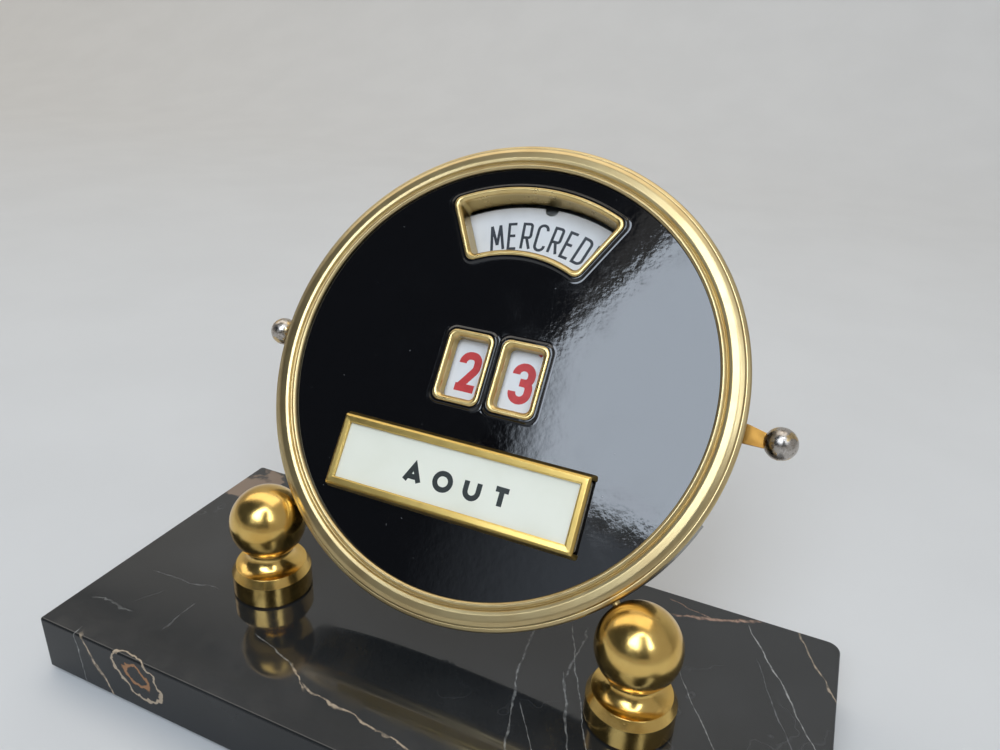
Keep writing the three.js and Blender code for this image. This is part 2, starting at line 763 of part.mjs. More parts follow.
for (const { word, side } of sides) {
  // A shoulder screw in the bridge carries each number disc.
  const discArbor = turned([
    [0, 0.05 - bridgeFront - bridgeThickness],
    [arborRadius - 0.3, 0.05 - bridgeFront - bridgeThickness],
    [arborRadius - 0.3, 0.05 - bridgeFront],
    [arborRadius, 0.05 - bridgeFront],
    [arborRadius, 0.15 - digitDiscFront],
    [collarRing, 0.15 - digitDiscFront],
    [collarRing, 1.3 - digitDiscFront],
    [0, 1.3 - digitDiscFront],
  ], 18);
  const slot = block(-4, 4, -0.4, 0.4, 0.8 - digitDiscFront, 2 - digitDiscFront);
  add(head, `${word}_disc_arbor`, cut(discArbor, slot), steel, side * digitAxis, 0, 0);

  // A shoulder stud on the mechanism plate carries each lever.
  const stud = turned([
    [0, 0.1 - plateFront - plateThickness],
    [arborRadius, 0.1 - plateFront - plateThickness],
    [arborRadius, sheetGap - plateFront],
    [collarRing, sheetGap - plateFront],
    [collarRing, -leverFront - leverThickness - sheetGap],
    [arborRadius, -leverFront - leverThickness - sheetGap],
    [arborRadius, sheetGap - leverFront],
    [collarRing, sheetGap - leverFront],
    [collarRing, 0.55 - leverFront],
    [0, 0.55 - leverFront],
  ], 18);
  add(head, `${word}_lever_stud`, stud, steel, side * digitAxis, 0, 0);
}

// ----------------------------------------------------------------- weekday train

const weekdayBore = arborRadius + runningGap;

function weekdayDisc() {
  const shape = disc(weekdayDiscRadius, 0, 0, headSegments);
  shape.holes.push(disc(weekdayBore));
  const plate = sheet(shape, weekdayDiscFront, weekdayDiscThickness);
  const notches = [];
  for (let day = 0; day < weekdaySteps; day += 1) {
    const [x, y] = polar(weekdayDiscRadius, 90 + weekdayTilt + day * weekdayPitch);
    notches.push(bar(weekdayNotch, -10, 0, 12).translate(x, y, 0));
  }
  return cut(plate, ...notches);
}

add(head, "weekday_disc", weekdayDisc(), whitePaint);

// Angles of the pawl's push, round the centre, for the driver in its rest position.
const driverRest = -weekdayPitch / 2;
const weekdayFace = 180 + weekdayFaceBehind + driverRest;
const weekdayWheel = ratchetWheel(
  weekdaySteps, weekdayRatchetTip, weekdayRatchetRoot, weekdayFace, 1, weekdayBore,
);
const weekdayWheelSheet = sheet(weekdayWheel, weekdayRatchetFront, weekdayRatchetThickness);
add(head, "weekday_ratchet", weekdayWheelSheet, satinBrass);

const weekdayPawlReach = -weekdayRatchetTip - 2;
function weekdayDriver() {
  const half = 2.6;
  const nearest = digitAxis - driverPinReach;
  const furthest = Math.hypot(
    digitAxis - driverPinReach * Math.cos(leverHalf),
    driverPinReach * Math.sin(leverHalf),
  );
  const slotHalf = driverPinRadius + 0.45;
  const stadium = (from, to, radius) => {
    const shape = new THREE.Shape();
    shape.absarc(to, 0, radius, -Math.PI / 2, Math.PI / 2, false);
    shape.absarc(from, 0, radius, Math.PI / 2, 1.5 * Math.PI, false);
    return shape;
  };
  const shape = stadium(weekdayPawlReach, furthest + 0.3, half);
  shape.holes.push(disc(weekdayBore));
  shape.holes.push(stadium(nearest - 0.1, furthest + 0.1, slotHalf));
  return sheet(shape, driverFront, driverThickness).rotateZ(radians(driverRest));
}

add(head, "weekday_driver", weekdayDriver(), satinBrass);

const pawlThickness = weekdayRatchetThickness;
const weekdayFingerWidth = fingerWidth - 0.2;
const weekdayFingerEnd = polar(weekdayRatchetRoot + 0.67, 180 + weekdayFaceBehind - 4.6);
const weekdayFinger = strip([[weekdayPawlReach, 0], weekdayFingerEnd], weekdayFingerWidth);
const weekdayPawl = join(
  sheet(weekdayFinger, weekdayRatchetFront, pawlThickness),
  bar(pawlPinRadius, sheetGap / 2 - driverFront, -weekdayRatchetFront).translate(weekdayPawlReach, 0, 0),
);
add(head, "weekday_pawl", weekdayPawl.rotateZ(radians(driverRest)), steel);

// A jumper is a bent leaf from its post to the root between two teeth.
const jumperFoot = polar(weekdayRatchetTip + 8.78, -58.7);
const weekdayArm = strip(
  [
    jumperFoot,
    polar(weekdayRatchetTip + 1.96, -76.7),
    polar(weekdayRatchetTip + 0.85, -91.7),
    polar(weekdayRatchetRoot + 0.66, -93.8),
  ],
  jumperWidth,
);
const weekdayJumper = join(
  sheet(weekdayArm, weekdayRatchetFront, pawlThickness),
  bar(jumperPost, sheetGap - plateFront, -weekdayRatchetFront).translate(...jumperFoot, 0),
);
add(head, "weekday_jumper", weekdayJumper, steel);

// --------------------------------------------------------------- number trains

const faceBehindPin = 12; // degrees from a pawl's pin to the tooth face that it pushes
const discBore = arborRadius + runningGap;
for (const [name, side] of [["tens", -1], ["units", 1]]) {
  const x = side * digitAxis;
  const plate = disc(digitDiscRadius, 0, 0, headSegments);
  plate.holes.push(disc(discBore));
  add(head, `${name}_disc`, sheet(plate, digitDiscFront, discThickness), whitePaint, x);

  const faceAngle = side > 0 ? -faceBehindPin : 180 + faceBehindPin;
  const wheel = ratchetWheel(digitSteps, digitRatchetTip, digitRatchetRoot, faceAngle, -side, discBore);
  add(head, `${name}_ratchet`, sheet(wheel, digitRatchetFront, digitRatchetThickness), satinBrass, x);

  const depth = digitRatchetFront + 0.05;
  const thick = digitRatchetThickness - 0.1;
  const fingerEnd = polar(digitRatchetRoot + 0.72, 3 - faceBehindPin);
  const finger = strip(mirrorX([[pawlPinReach, 0], fingerEnd], side), fingerWidth);
  const pin = bar(pawlPinRadius, sheetGap / 2 - leverFront, -depth).translate(side * pawlPinReach, 0, 0);
  add(head, `${name}_pawl`, join(sheet(finger, depth, thick), pin), steel, x);

  const foot = polar(digitRatchetTip + 4, -125);
  const path = [
    foot,
    polar(digitRatchetTip + 2.1, -104),
    polar(digitRatchetTip + 1.2, -84),
    polar(digitRatchetRoot + 0.7, -79),
  ];
  const arm = strip(mirrorX(path, side), jumperWidth);
  const post = bar(jumperPost, sheetGap / 2 - bridgeFront, -depth).translate(side * foot[0], foot[1], 0);
  add(head, `${name}_jumper`, join(sheet(arm, depth, thick), post), steel, x);
}

// ----------------------------------------------------------------------- levers

for (const { word, side } of sides) {
  const arm = polygon(mirrorX([
    [digitAxis, 3.2],
    [caseRadius - 4, 2.6],
    [caseRadius, 2.2],
    [leverBallReach - 2.2, 1.2],
    [leverBallReach, 1.2],
    [leverBallReach, -1.2],
    [leverBallReach - 2.2, -tabHalfWidth],
    [caseRadius - 2, -tabHalfWidth],
    [caseRadius - 4, -2.6],
    [digitAxis, -3.2],
  ], side));
  const hub = disc(leverHub, side * digitAxis);
  const parts = [sheet(hub, leverFront, leverThickness), sheet(arm, leverFront, leverThickness)];
  if (side > 0) {
    // The right lever's tail carries the pin that moves the weekday driver.
    const [dx, dy] = polar(driverPinReach, 180 + digitPitch / 2);
    const pinAt = [digitAxis + dx, dy];
    parts.push(sheet(strip([[digitAxis, 0], pinAt], 3.4), leverFront, leverThickness));
    parts.push(sheet(disc(1.9, ...pinAt), leverFront, leverThickness));
    const pinTop = -driverFront + sheetGap;
    parts.push(bar(driverPinRadius, -leverFront - 0.3, pinTop).translate(...pinAt, 0));
  }
  const bore = bar(arborRadius + runningGap, -10, 0).translate(side * digitAxis, 0, 0);
  add(head, `${word}_lever`, cut(join(...parts), bore), satinBrass);

  const slotFit = 0.15;
  const mouth = leverBallReach + slotFit;
  const middle = -leverFront - leverThickness / 2;
  const slot = block(
    ...[side * (leverBallReach - 4), side * mouth].sort((a, b) => a - b),
    -tabHalfWidth - slotFit, tabHalfWidth + slotFit,
    middle - leverThickness / 2 - slotFit, middle + leverThickness / 2 + slotFit,
  );
  const knob = new THREE.SphereGeometry(leverBallRadius, 16, 12).rotateX(Math.PI / 2);
  knob.translate(side * leverBallReach, 0, middle);
  add(head, `${word}_lever_ball`, cut(knob, slot), nickel);

  const springFoot = [side * (digitAxis + 3), -9];
  const leaf = [springFoot, [side * (digitAxis + 11), -7], [side * (digitAxis + 19.5), -3.25]];
  const spring = join(
    sheet(strip(leaf, 0.5), leverFront + 0.1, leverThickness - 0.2),
    bar(1.2, sheetGap - plateFront, -leverFront - 0.1).translate(...springFoot, 0),
  );
  add(head, `${word}_lever_spring`, spring, steel);
}

export default calendar;
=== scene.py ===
"""The looks of a perpetual desk calendar: a lacquered dial between two brass balls.

The dial leans back on two turned brass supports that stand on a slab of black
marble. Behind its windows turn a weekday disc and two number discs, and printed
month cards slide in a brass frame. Sizes in this file are in millimetres and
become metres where a mesh is made; the dial's own axes are X to the right, Y up
the dial and Z out of its face.
"""

import json
import logging
import math
from collections.abc import Callable, Iterable, Sequence
from dataclasses import dataclass, field
from enum import Enum

import bmesh
import bpy
from mathutils import Matrix, Vector


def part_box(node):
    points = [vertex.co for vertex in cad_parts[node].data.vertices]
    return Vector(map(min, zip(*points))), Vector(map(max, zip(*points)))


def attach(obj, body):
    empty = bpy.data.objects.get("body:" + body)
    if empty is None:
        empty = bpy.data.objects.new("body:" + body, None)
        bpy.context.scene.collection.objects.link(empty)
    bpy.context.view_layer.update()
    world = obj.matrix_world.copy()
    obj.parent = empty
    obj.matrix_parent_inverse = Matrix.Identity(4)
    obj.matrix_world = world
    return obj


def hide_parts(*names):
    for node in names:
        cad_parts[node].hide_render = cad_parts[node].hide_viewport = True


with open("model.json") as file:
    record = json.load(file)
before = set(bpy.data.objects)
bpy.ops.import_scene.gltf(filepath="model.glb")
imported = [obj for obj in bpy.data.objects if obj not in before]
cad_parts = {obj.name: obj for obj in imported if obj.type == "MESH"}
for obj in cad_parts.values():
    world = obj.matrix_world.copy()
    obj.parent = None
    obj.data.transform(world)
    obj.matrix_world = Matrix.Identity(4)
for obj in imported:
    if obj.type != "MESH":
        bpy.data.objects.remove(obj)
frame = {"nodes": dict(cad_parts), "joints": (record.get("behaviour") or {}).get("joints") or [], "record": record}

log = logging.getLogger("desk_calendar")

MM = 0.001
WELD = 2e-7  # metres; points nearer than this are one point
SHARED_ROOM = 0.5  # how much of a side one fillet may take when its other end is round too
BALL_FINENESS = 5  # how often a ball's faces are split
WHOLE_ROOM = 0.98  # how much it may take when its other end is sharp

Flat = tuple[float, float]
Point = tuple[float, float, float]
Corner = tuple[float, float, float]
Colour = tuple[float, float, float]
Outline = Callable[[float], list[Flat]]
Socket = bpy.types.NodeSocket
Value = float | Socket


class Side(Enum):
    """The two sides of the calendar, as the reader sees them."""

    LEFT = -1
    RIGHT = 1

    @property
    def word(self) -> str:
        """The side's name, as it stands in the names of pieces."""
        return self.name.lower()


class Grain(Enum):
    """How a metal surface was finished."""

    POLISHED = "polished"
    SPUN = "spun"
    ROLLED = "rolled"


# ------------------------------------------------------------------ outlines


def polar(radius: float, degrees: float) -> Flat:
    """The point at a radius and an angle."""
    turn = math.radians(degrees)
    return radius * math.cos(turn), radius * math.sin(turn)


def arc(centre: Flat, radius: float, start: float, end: float, steps: int) -> list[Flat]:
    """Lists points along an arc.

    Args:
        centre: the arc's centre.
        radius: its radius.
        start: the angle of its first point, in degrees.
        end: the angle of its last point, in degrees.
        steps: how many stretches it has.

    Returns:
        The points, both ends included.
    """
    turns = (start + (end - start) * i / steps for i in range(steps + 1))
    return [(centre[0] + x, centre[1] + y) for x, y in (polar(radius, t) for t in turns)]


def circle(radius: float, steps: int, centre: Flat = (0.0, 0.0)) -> list[Flat]:
    """Points round a whole circle, the first one not repeated."""
    return arc(centre, radius, 0.0, 360.0, steps)[:-1]


def filleted(corners: Sequence[Corner], closed: bool = False, steps: int = 5) -> list[Flat]:
    """Rounds the corners of a polyline.

    Args:
        corners: each corner's x and y and its fillet radius.
        closed: whether the last corner joins the first.
        steps: stretches in each fillet.

    Returns:
        The polyline's points.
    """
    points: list[Flat] = []
    last = len(corners) - 1
    for i, (x, y, radius) in enumerate(corners):
        if radius <= 0 or (not closed and i in (0, last)):
            points.append((x, y))
            continue
        here = Vector((x, y))
        sides = []
        for other in (corners[i - 1], corners[(i + 1) % len(corners)]):
            way = Vector(other[:2]) - here
            share = SHARED_ROOM if other[2] > 0 else WHOLE_ROOM
            sides.append((way.normalized(), way.length * share))
        (back, back_room), (ahead, ahead_room) = sides
        half = back.angle(ahead) / 2
        reach = min(radius / math.tan(half), back_room, ahead_room)
        centre = here + (back + ahead).normalized() * (reach / math.cos(half))
        first = here + back * reach - centre
        final = here + ahead * reach - centre
        start = math.atan2(first.y, first.x)
        sweep = (math.atan2(final.y, final.x) - start + math.pi) % (2 * math.pi) - math.pi
        for k in range(steps + 1):
            turn = start + sweep * k / steps
            x_out, y_out = first.length * math.cos(turn), first.length * math.sin(turn)
            points.append((centre.x + x_out, centre.y + y_out))
    return points


def rounded_rectangle(
    width: float,
    height: float,
    corner: float | Sequence[float],
    centre: Flat,
    steps: int = 7,
) -> list[Flat]:
    """Lists the points of a rectangle with round corners, anticlockwise.

    Args:
        width: its size along X.
        height: its size along Y.
        corner: the radius of its corners, or of each, from the right-hand far one on.
        centre: its middle.
        steps: stretches in each corner.

    Returns:
        The points, the first one not repeated.
    """
    radii = corner if isinstance(corner, Sequence) else [corner] * 4
    points: list[Flat] = []
    for i, ((sx, sy), radius) in enumerate(zip(((1, 1), (-1, 1), (-1, -1), (1, -1)), radii)):
        middle = (centre[0] + sx * (width / 2 - radius), centre[1] + sy * (height / 2 - radius))
        points += arc(middle, radius, 90.0 * i, 90.0 * i + 90.0, steps)
    return points


@dataclass(frozen=True)
class Fan:
    """A fan between two radii round the dial's middle, with straight, radial sides."""

    inner: float
    outer: float
    half: float
    corner: float
    steps: int = 7
    sweep_steps: int = 28
    least_corner: float = 0.3

    def outline(self, inset: float) -> list[Flat]:
        """Lists the points of the fan moved inwards, anticlockwise.

        Args:
            inset: how far inside its own edge the outline lies.

        Returns:
            The points, the first one not repeated.
        """
        corner = max(self.corner - inset / 2, self.least_corner)
        high, low = self.outer - inset - corner, self.inner + inset + corner
        lean_high = self.half - math.degrees(math.asin((corner + inset) / high))
        lean_low = self.half - math.degrees(math.asin((corner + inset) / low))
        side = self.half
        points = arc((0, 0), high + corner, 90 - lean_high, 90 + lean_high, self.sweep_steps)
        points += arc(polar(high, 90 + lean_high), corner, 90 + lean_high, 180 + side, self.steps)
        points += arc(polar(low, 90 + lean_low), corner, 180 + side, 270 + lean_low, self.steps)
        points += arc((0, 0), low - corner, 90 + lean_low, 90 - lean_low, self.sweep_steps)
        points += arc(polar(low, 90 - lean_low), corner, 270 - lean_low, 360 - side, self.steps)
        points += arc(polar(high, 90 - lean_high), corner, -side, 90 - lean_high, self.steps)
        return points


# ------------------------------------------------------------- mesh drafting


@dataclass
class Draft:
    """The points and faces of a piece while it is being made, in millimetres."""

    points: list[Point] = field(default_factory=list)
    faces: list[tuple[int, ...]] = field(default_factory=list)

    def ring(self, points: Iterable[Point]) -> list[int]:
        """Adds points.

        Args:
            points: the points to add.

        Returns:
            Their numbers.
        """
        start = len(self.points)
        self.points.extend(points)
        return list(range(start, len(self.points)))

    def level(self, outline: Iterable[Flat], height: float) -> list[int]:
        """Adds an outline at one height and gives its points' numbers."""
        return self.ring((x, y, height) for x, y in outline)

    def bridge(self, first: Sequence[int], second: Sequence[int], closed: bool = True) -> None:
        """Joins two rows of points with faces.

        Args:
            first: the numbers of one row; a single point makes a fan of triangles.
            second: the numbers of the other row.
            closed: whether each row joins its own start.
        """
        count = max(len(first), len(second))
        for i in range(count if closed else count - 1):
            j = (i + 1) % count
            if len(first) == 1:
                self.faces.append((first[0], second[j], second[i]))
            elif len(second) == 1:
                self.faces.append((first[i], first[j], second[0]))
            else:
                self.faces.append((first[i], first[j], second[j], second[i]))

    def cap(self, row: Sequence[int]) -> None:
        """Closes a row of points with one flat face."""
        self.faces.append(tuple(row))

    def stack(self, rows: Sequence[Sequence[int]], closed: bool = False) -> None:
        """Joins each row of points to the next.

        Args:
            rows: the numbers of each row's points.
            closed: whether the last row joins the first.
        """
        for first, second in zip(rows, rows[1:]):
            self.bridge(first, second)
        if closed:
            self.bridge(rows[-1], rows[0])

    def rim(self, outline: Outline, section: Sequence[Flat]) -> None:
        """Sweeps a closed section along an outline.

        Args:
            outline: gives the outline's points for an inset.
            section: the section's points, each an inset and a height.
        """
        rows = [self.level(outline(inset), height) for inset, height in section]
        self.stack(rows, closed=True)

    def turn(self, profile: Sequence[Flat], steps: int, closed: bool = False) -> None:
        """Turns a profile about Z.

        Args:
            profile: its points, each a radius and a height.
            steps: how many stretches go round.
            closed: whether the profile closes on itself.
        """
        rows = []
        for radius, height in profile:
            flat = circle(radius, steps) if radius > 0 else [(0.0, 0.0)]
            rows.append(self.level(flat, height))
        self.stack(rows, closed)

    def mesh(self, name: str) -> bpy.types.Mesh:
        """Makes the mesh, with its points welded and its faces out.

        Args:
            name: the mesh's name.

        Returns:
            The mesh, in metres.
        """
        mesh = bpy.data.meshes.new(name)
        mesh.from_pydata([tuple(c * MM for c in p) for p in self.points], [], self.faces)
        tidy(mesh)
        return mesh


def tidy(mesh: bpy.types.Mesh) -> None:
    """Welds a mesh's points and turns its faces out.

    Args:
        mesh: the mesh to change.
    """
    work = bmesh.new()
    work.from_mesh(mesh)
    bmesh.ops.remove_doubles(work, verts=work.verts, dist=WELD)
    bmesh.ops.recalc_face_normals(work, faces=work.faces)
    work.to_mesh(mesh)
    work.free()


def sheet(
    name: str,
    outer: Sequence[Flat],
    holes: Iterable[Sequence[Flat]],
    front: float,
    back: float,
    edge: float,
) -> bpy.types.Mesh:
    """Cuts a flat piece out of sheet, with eased edges.

    Args:
        name: the mesh's name.
        outer: its outer edge.
        holes: the edges of its holes.
        front: the height of its front face.
        back: the height of its back face.
        edge: how far its edges are eased.

    Returns:
        The mesh, in metres.
    """
    curve = bpy.data.curves.new(name, "CURVE")
    curve.dimensions = "2D"
    curve.fill_mode = "BOTH"
    curve.extrude = ((front - back) / 2 - edge) * MM
    curve.bevel_depth = edge * MM
    curve.bevel_resolution = 1
    curve.offset = -edge * MM
    for loop in (outer, *holes):
        spline = curve.splines.new("POLY")
        spline.points.add(len(loop) - 1)
        spline.use_cyclic_u = True
        for point, (x, y) in zip(spline.points, loop):
            point.co = (x * MM, y * MM, 0.0, 1.0)
    carrier = bpy.data.objects.new(name, curve)
    mesh = bpy.data.meshes.new_from_object(carrier)
    bpy.data.objects.remove(carrier)
    bpy.data.curves.remove(curve)
    mesh.transform(Matrix.Translation((0, 0, (front + back) / 2 * MM)))
    mesh.materials.clear()
    tidy(mesh)
    return mesh


def joined(name: str, meshes: Sequence[bpy.types.Mesh]) -> bpy.types.Mesh:
    """Puts several meshes into one.

    Args:
        name: the new mesh's name.
        meshes: the meshes to put together.

    Returns:
        The new mesh.
    """
    work = bmesh.new()
    for mesh in meshes:
        work.from_mesh(mesh)
    bmesh.ops.remove_doubles(work, verts=work.verts, dist=WELD)
    whole = bpy.data.meshes.new(name)
    work.to_mesh(whole)
    work.free()
    return whole


def prism(outline: Sequence[Flat], low: float, high: float) -> Draft:
    """Drafts an upright prism, to cut with.

    Args:
        outline: its outline.
        low: the height of its foot.
        high: the height of its top.

    Returns:
        The prism's draft.
    """
    draft = Draft()
    top = draft.level(outline, high)
    foot = draft.level(outline, low)
    draft.bridge(top, foot)
    draft.cap(top)
    draft.cap(foot)
    return draft


def sphere(name: str, radius: float, middle: Vector) -> bpy.types.Mesh:
    """Makes a ball of evenly spread faces.

    Args:
        name: the mesh's name.
        radius: its radius, in millimetres.
        middle: its middle, in millimetres.

    Returns:
        The mesh, in metres.
    """
    work = bmesh.new()
    bmesh.ops.create_icosphere(work, subdivisions=BALL_FINENESS, radius=radius * MM)
    mesh = bpy.data.meshes.new(name)
    work.to_mesh(mesh)
    work.free()
    mesh.transform(Matrix.Translation(middle * MM))
    return mesh


def block(low: Point, high: Point) -> Draft:
    """Drafts a plain block, to cut with.

    Args:
        low: its lowest corner.
        high: its highest corner.

    Returns:
        The block's draft.
    """
    draft = Draft()
    (x0, y0, z0), (x1, y1, z1) = low, high
    foot = draft.ring([(x0, y0, z0), (x1, y0, z0), (x1, y1, z0), (x0, y1, z0)])
    top = draft.ring([(x0, y0, z1), (x1, y0, z1), (x1, y1, z1), (x0, y1, z1)])
    draft.bridge(foot, top)
    draft.cap(foot)
    draft.cap(top)
    return draft


def cut_away(mesh: bpy.types.Mesh, tools: Iterable[bpy.types.Mesh]) -> bpy.types.Mesh:
    """Cuts tools out of a mesh.

    Args:
        mesh: the closed mesh to cut.
        tools: closed meshes, each taken away in turn.

    Returns:
        The mesh that is left.
    """
    for tool in tools:
        body = bpy.data.objects.new("cut", mesh)
        cutter = bpy.data.objects.new("cutter", tool)
        for item in (body, cutter):
            bpy.context.scene.collection.objects.link(item)
        change = body.modifiers.new("cut", "BOOLEAN")
        change.operation = "DIFFERENCE"
        change.solver = "EXACT"
        change.object = cutter
        bpy.context.view_layer.update()
        graph = bpy.context.evaluated_depsgraph_get()
        mesh = bpy.data.meshes.new_from_object(body.evaluated_get(graph))
        bpy.data.objects.remove(body)
        bpy.data.objects.remove(cutter)
    tidy(mesh)
    return mesh


# ------------------------------------------------------------------ finishes


class Surface:
    """A material's nodes while they are being wired."""

    def __init__(self, name: str) -> None:
        """Starts a material with its shader and its object coordinates.

        Args:
            name: the material's name.
        """
        self.material = bpy.data.materials.new(name)
        self.material.use_nodes = True
        self.nodes = self.material.node_tree.nodes
        self.links = self.material.node_tree.links
        self.shader = self.nodes["Principled BSDF"]
        self.place = self.nodes.new("ShaderNodeTexCoord").outputs["Object"]

    def set(self, **values: float | Colour) -> None:
        """Sets the shader's own sockets.

        Args:
            values: each socket's value, with underscores for the spaces in its name.
        """
        for key, value in values.items():
            socket = self.shader.inputs[key.replace("_", " ")]
            socket.default_value = (*value, 1.0) if isinstance(value, tuple) else value

    def feed(self, socket: str, source: Socket) -> None:
        """Links a value to one of the shader's sockets."""
        self.links.new(source, self.shader.inputs[socket])

    def node(self, kind: str, inputs: dict[str | int, object], **settings: object) -> bpy.types.Node:
        """Adds a node.

        Args:
            kind: the node's type, without its ShaderNode prefix.
            inputs: values or sockets for its inputs.
            settings: the node's own settings.

        Returns:
            The node.
        """
        made = self.nodes.new("ShaderNode" + kind)
        for key, value in settings.items():
            setattr(made, key, value)
        for key, value in inputs.items():
            if isinstance(value, Socket):
                self.links.new(value, made.inputs[key])
            else:
                made.inputs[key].default_value = value
        return made

    def noise(self, size: float, detail: float = 3.0, place: Socket | None = None) -> Socket:
        """Gives soft noise whose lumps are about a size in millimetres."""
        inputs = {"Vector": place or self.place, "Scale": 1 / (size * MM), "Detail": detail}
        return self.node("TexNoise", inputs).outputs["Fac"]

    def ramp(
        self,
        source: Socket,
        low: float,
        high: float,
        first: float | Socket = 0.0,
        last: float | Socket = 1.0,
    ) -> Socket:
        """Maps a value smoothly from one range to another.

        Args:
            source: the value.
            low: where its range starts.
            high: where its range ends.
            first: what it becomes at the start.
            last: what it becomes at the end.

        Returns:
            The new value.
        """
        inputs = {"Value": source, "From Min": low, "From Max": high, "To Min": first, "To Max": last}
        return self.node("MapRange", inputs, interpolation_type="SMOOTHSTEP").outputs["Result"]

    def sum(self, first: Value, second: Value, operation: str = "ADD", third: Value = 0.0) -> Socket:
        """Combines two values by a named operation."""
        return self.node("Math", {0: first, 1: second, 2: third}, operation=operation).outputs[0]

    def unsigned(self, value: Value) -> Socket:
        """A value without its sign."""
        return self.sum(value, 0.0, "ABSOLUTE")

    def cells(self, spacing: float) -> Socket:
        """The distance to the nearest of many scattered points, spaced in millimetres."""
        inputs = {"Vector": self.place, "Scale": 1 / (spacing * MM)}
        return self.node("TexVoronoi", inputs).outputs["Distance"]

    def height(self, place: Socket) -> Socket:
        """The third part of a place or a direction."""
        return self.node("SeparateXYZ", {0: place}).outputs[2]

    def mix(self, share: Socket, first: Colour | Socket, second: Colour | Socket) -> Socket:
        """Mixes two colours.

        Args:
            share: how much of the second colour there is.
            first: one colour.
            second: the other colour.

        Returns:
            The mixed colour.
        """
        ends = [(*c, 1.0) if isinstance(c, tuple) else c for c in (first, second)]
        made = self.node("Mix", {"Factor": share, 6: ends[0], 7: ends[1]}, data_type="RGBA")
        return made.outputs[2]

    def stretched(self, scale: Point) -> Socket:
        """Gives the place with its axes scaled."""
        return self.node("Mapping", {"Vector": self.place, "Scale": scale}).outputs["Vector"]

    def emboss(self, height: Socket, depth: float) -> None:
        """Adds a relief on top of the reliefs before it.

        Args:
            height: the relief's height, from nothing to one.
            depth: how deep it is, in millimetres.
        """
        made = self.node("Bump", {"Height": height, "Distance": depth * MM, "Strength": 1.0})
        before = self.shader.inputs["Normal"].links
        if before:
            self.links.new(before[0].from_socket, made.inputs["Normal"])
        self.feed("Normal", made.outputs["Normal"])


@dataclass(frozen=True)
class Brass:
    """Brass with tarnish, a worn gloss, fine scratches and pits, and where asked painted shade that darkens it
    deep in a recess.
    """

    name: str
    colour: Colour
    tarnish: Colour
    roughness: float
    dull: float
    grain: Grain = Grain.POLISHED
    pits: float = 0.0
    pit_spacing: float = 0.9
    grain_depth: float = 0.0012
    # painted shade: the colour the brass darkens to below the face, in a recess
    recess: Colour | None = None

    def make(self) -> bpy.types.Material:
        """Makes the material.

        Returns:
            The material, with its relief by how the surface was finished.
        """
        work = Surface(self.name)
        work.set(Metallic=1.0)
        cloud = work.noise(7.0, 5.0)
        speck = work.noise(0.35, 2.0)
        stain = work.sum(work.ramp(cloud, 0.4, 0.75), work.ramp(speck, 0.7, 0.78, 0.0, 0.5), "MAXIMUM")
        colour = work.mix(stain, self.colour, self.tarnish)
        # painted shade: from 0.1 mm above the face to 1 mm below it the colour darkens towards the recess shade
        if self.recess:
            recess_shade_share = work.ramp(work.height(work.place), 0.1 * MM, -1.0 * MM)
            colour = work.mix(recess_shade_share, colour, self.recess)
        work.feed("Base Color", colour)
        work.feed("Roughness", work.ramp(work.noise(2.2, 4.0), 0.3, 0.75, self.roughness, self.dull))
        if self.grain is Grain.SPUN:
            x, y, z = work.node("SeparateXYZ", {0: work.place}).outputs
            reach = work.sum(work.sum(x, x, "MULTIPLY"), work.sum(y, y, "MULTIPLY"))
            radius = work.node("CombineXYZ", {0: work.sum(reach, 0.5, "POWER"), 2: z}).outputs[0]
            work.emboss(work.noise(0.12, 1.0, radius), self.grain_depth)
            work.emboss(work.noise(0.5, 4.0), self.grain_depth * 2)
        elif self.grain is Grain.ROLLED:
            work.emboss(work.noise(0.18, 2.0, work.stretched((0.06, 1.0, 1.0))), self.grain_depth)
        work.emboss(work.noise(1.6, 3.0), self.grain_depth * 3)
        if self.pits > 0:
            cells = work.cells(self.pit_spacing)
            patch = work.ramp(work.noise(6.0, 1.0), 0.5, 0.62)
            work.emboss(work.sum(work.ramp(cells, 0.0, 0.22), patch, "MULTIPLY"), self.pits)
        return work.material


@dataclass(frozen=True)
class Steel:
    """Plain or plated steel sheet, turned or spring steel."""

    name: str
    colour: Colour
    stain: Colour
    roughness: float
    dull: float
    stretch: Point = (1.0, 1.0, 1.0)
    lines: float = 0.14

    def make(self) -> bpy.types.Material:
        """Makes the material.

        Returns:
            The material, with drawing lines along its stretch.
        """
        work = Surface(self.name)
        work.set(Metallic=1.0)
        cloud = work.ramp(work.noise(5.0, 6.0), 0.42, 0.7)
        work.feed("Base Color", work.mix(cloud, self.colour, self.stain))
        work.feed("Roughness", work.ramp(work.noise(1.4, 4.0), 0.3, 0.7, self.roughness, self.dull))
        work.emboss(work.noise(self.lines, 2.0, work.stretched(self.stretch)), 0.0015)
        work.emboss(work.noise(1.1, 3.0), 0.002)
        return work.material


@dataclass(frozen=True)
class WornPlate:
    """Nickel plate, grey and rubbed through to the brass."""

    name: str
    nickel: Colour
    brass: Colour
    grime: Colour

    def make(self) -> bpy.types.Material:
        """Makes the material.

        Returns:
            The material, with brass where the plate has gone.
        """
        work = Surface(self.name)
        work.set(Metallic=1.0)
        rubbed = work.ramp(work.noise(2.6, 6.0), 0.52, 0.6)
        grimy = work.ramp(work.noise(0.8, 5.0), 0.5, 0.72)
        plate = work.mix(grimy, self.nickel, self.grime)
        work.feed("Base Color", work.mix(rubbed, plate, self.brass))
        work.feed("Roughness", work.ramp(work.noise(0.7, 5.0), 0.3, 0.7, 0.16, 0.42))
        work.emboss(rubbed, -0.006)
        work.emboss(work.noise(0.3, 3.0), 0.004)
        return work.material


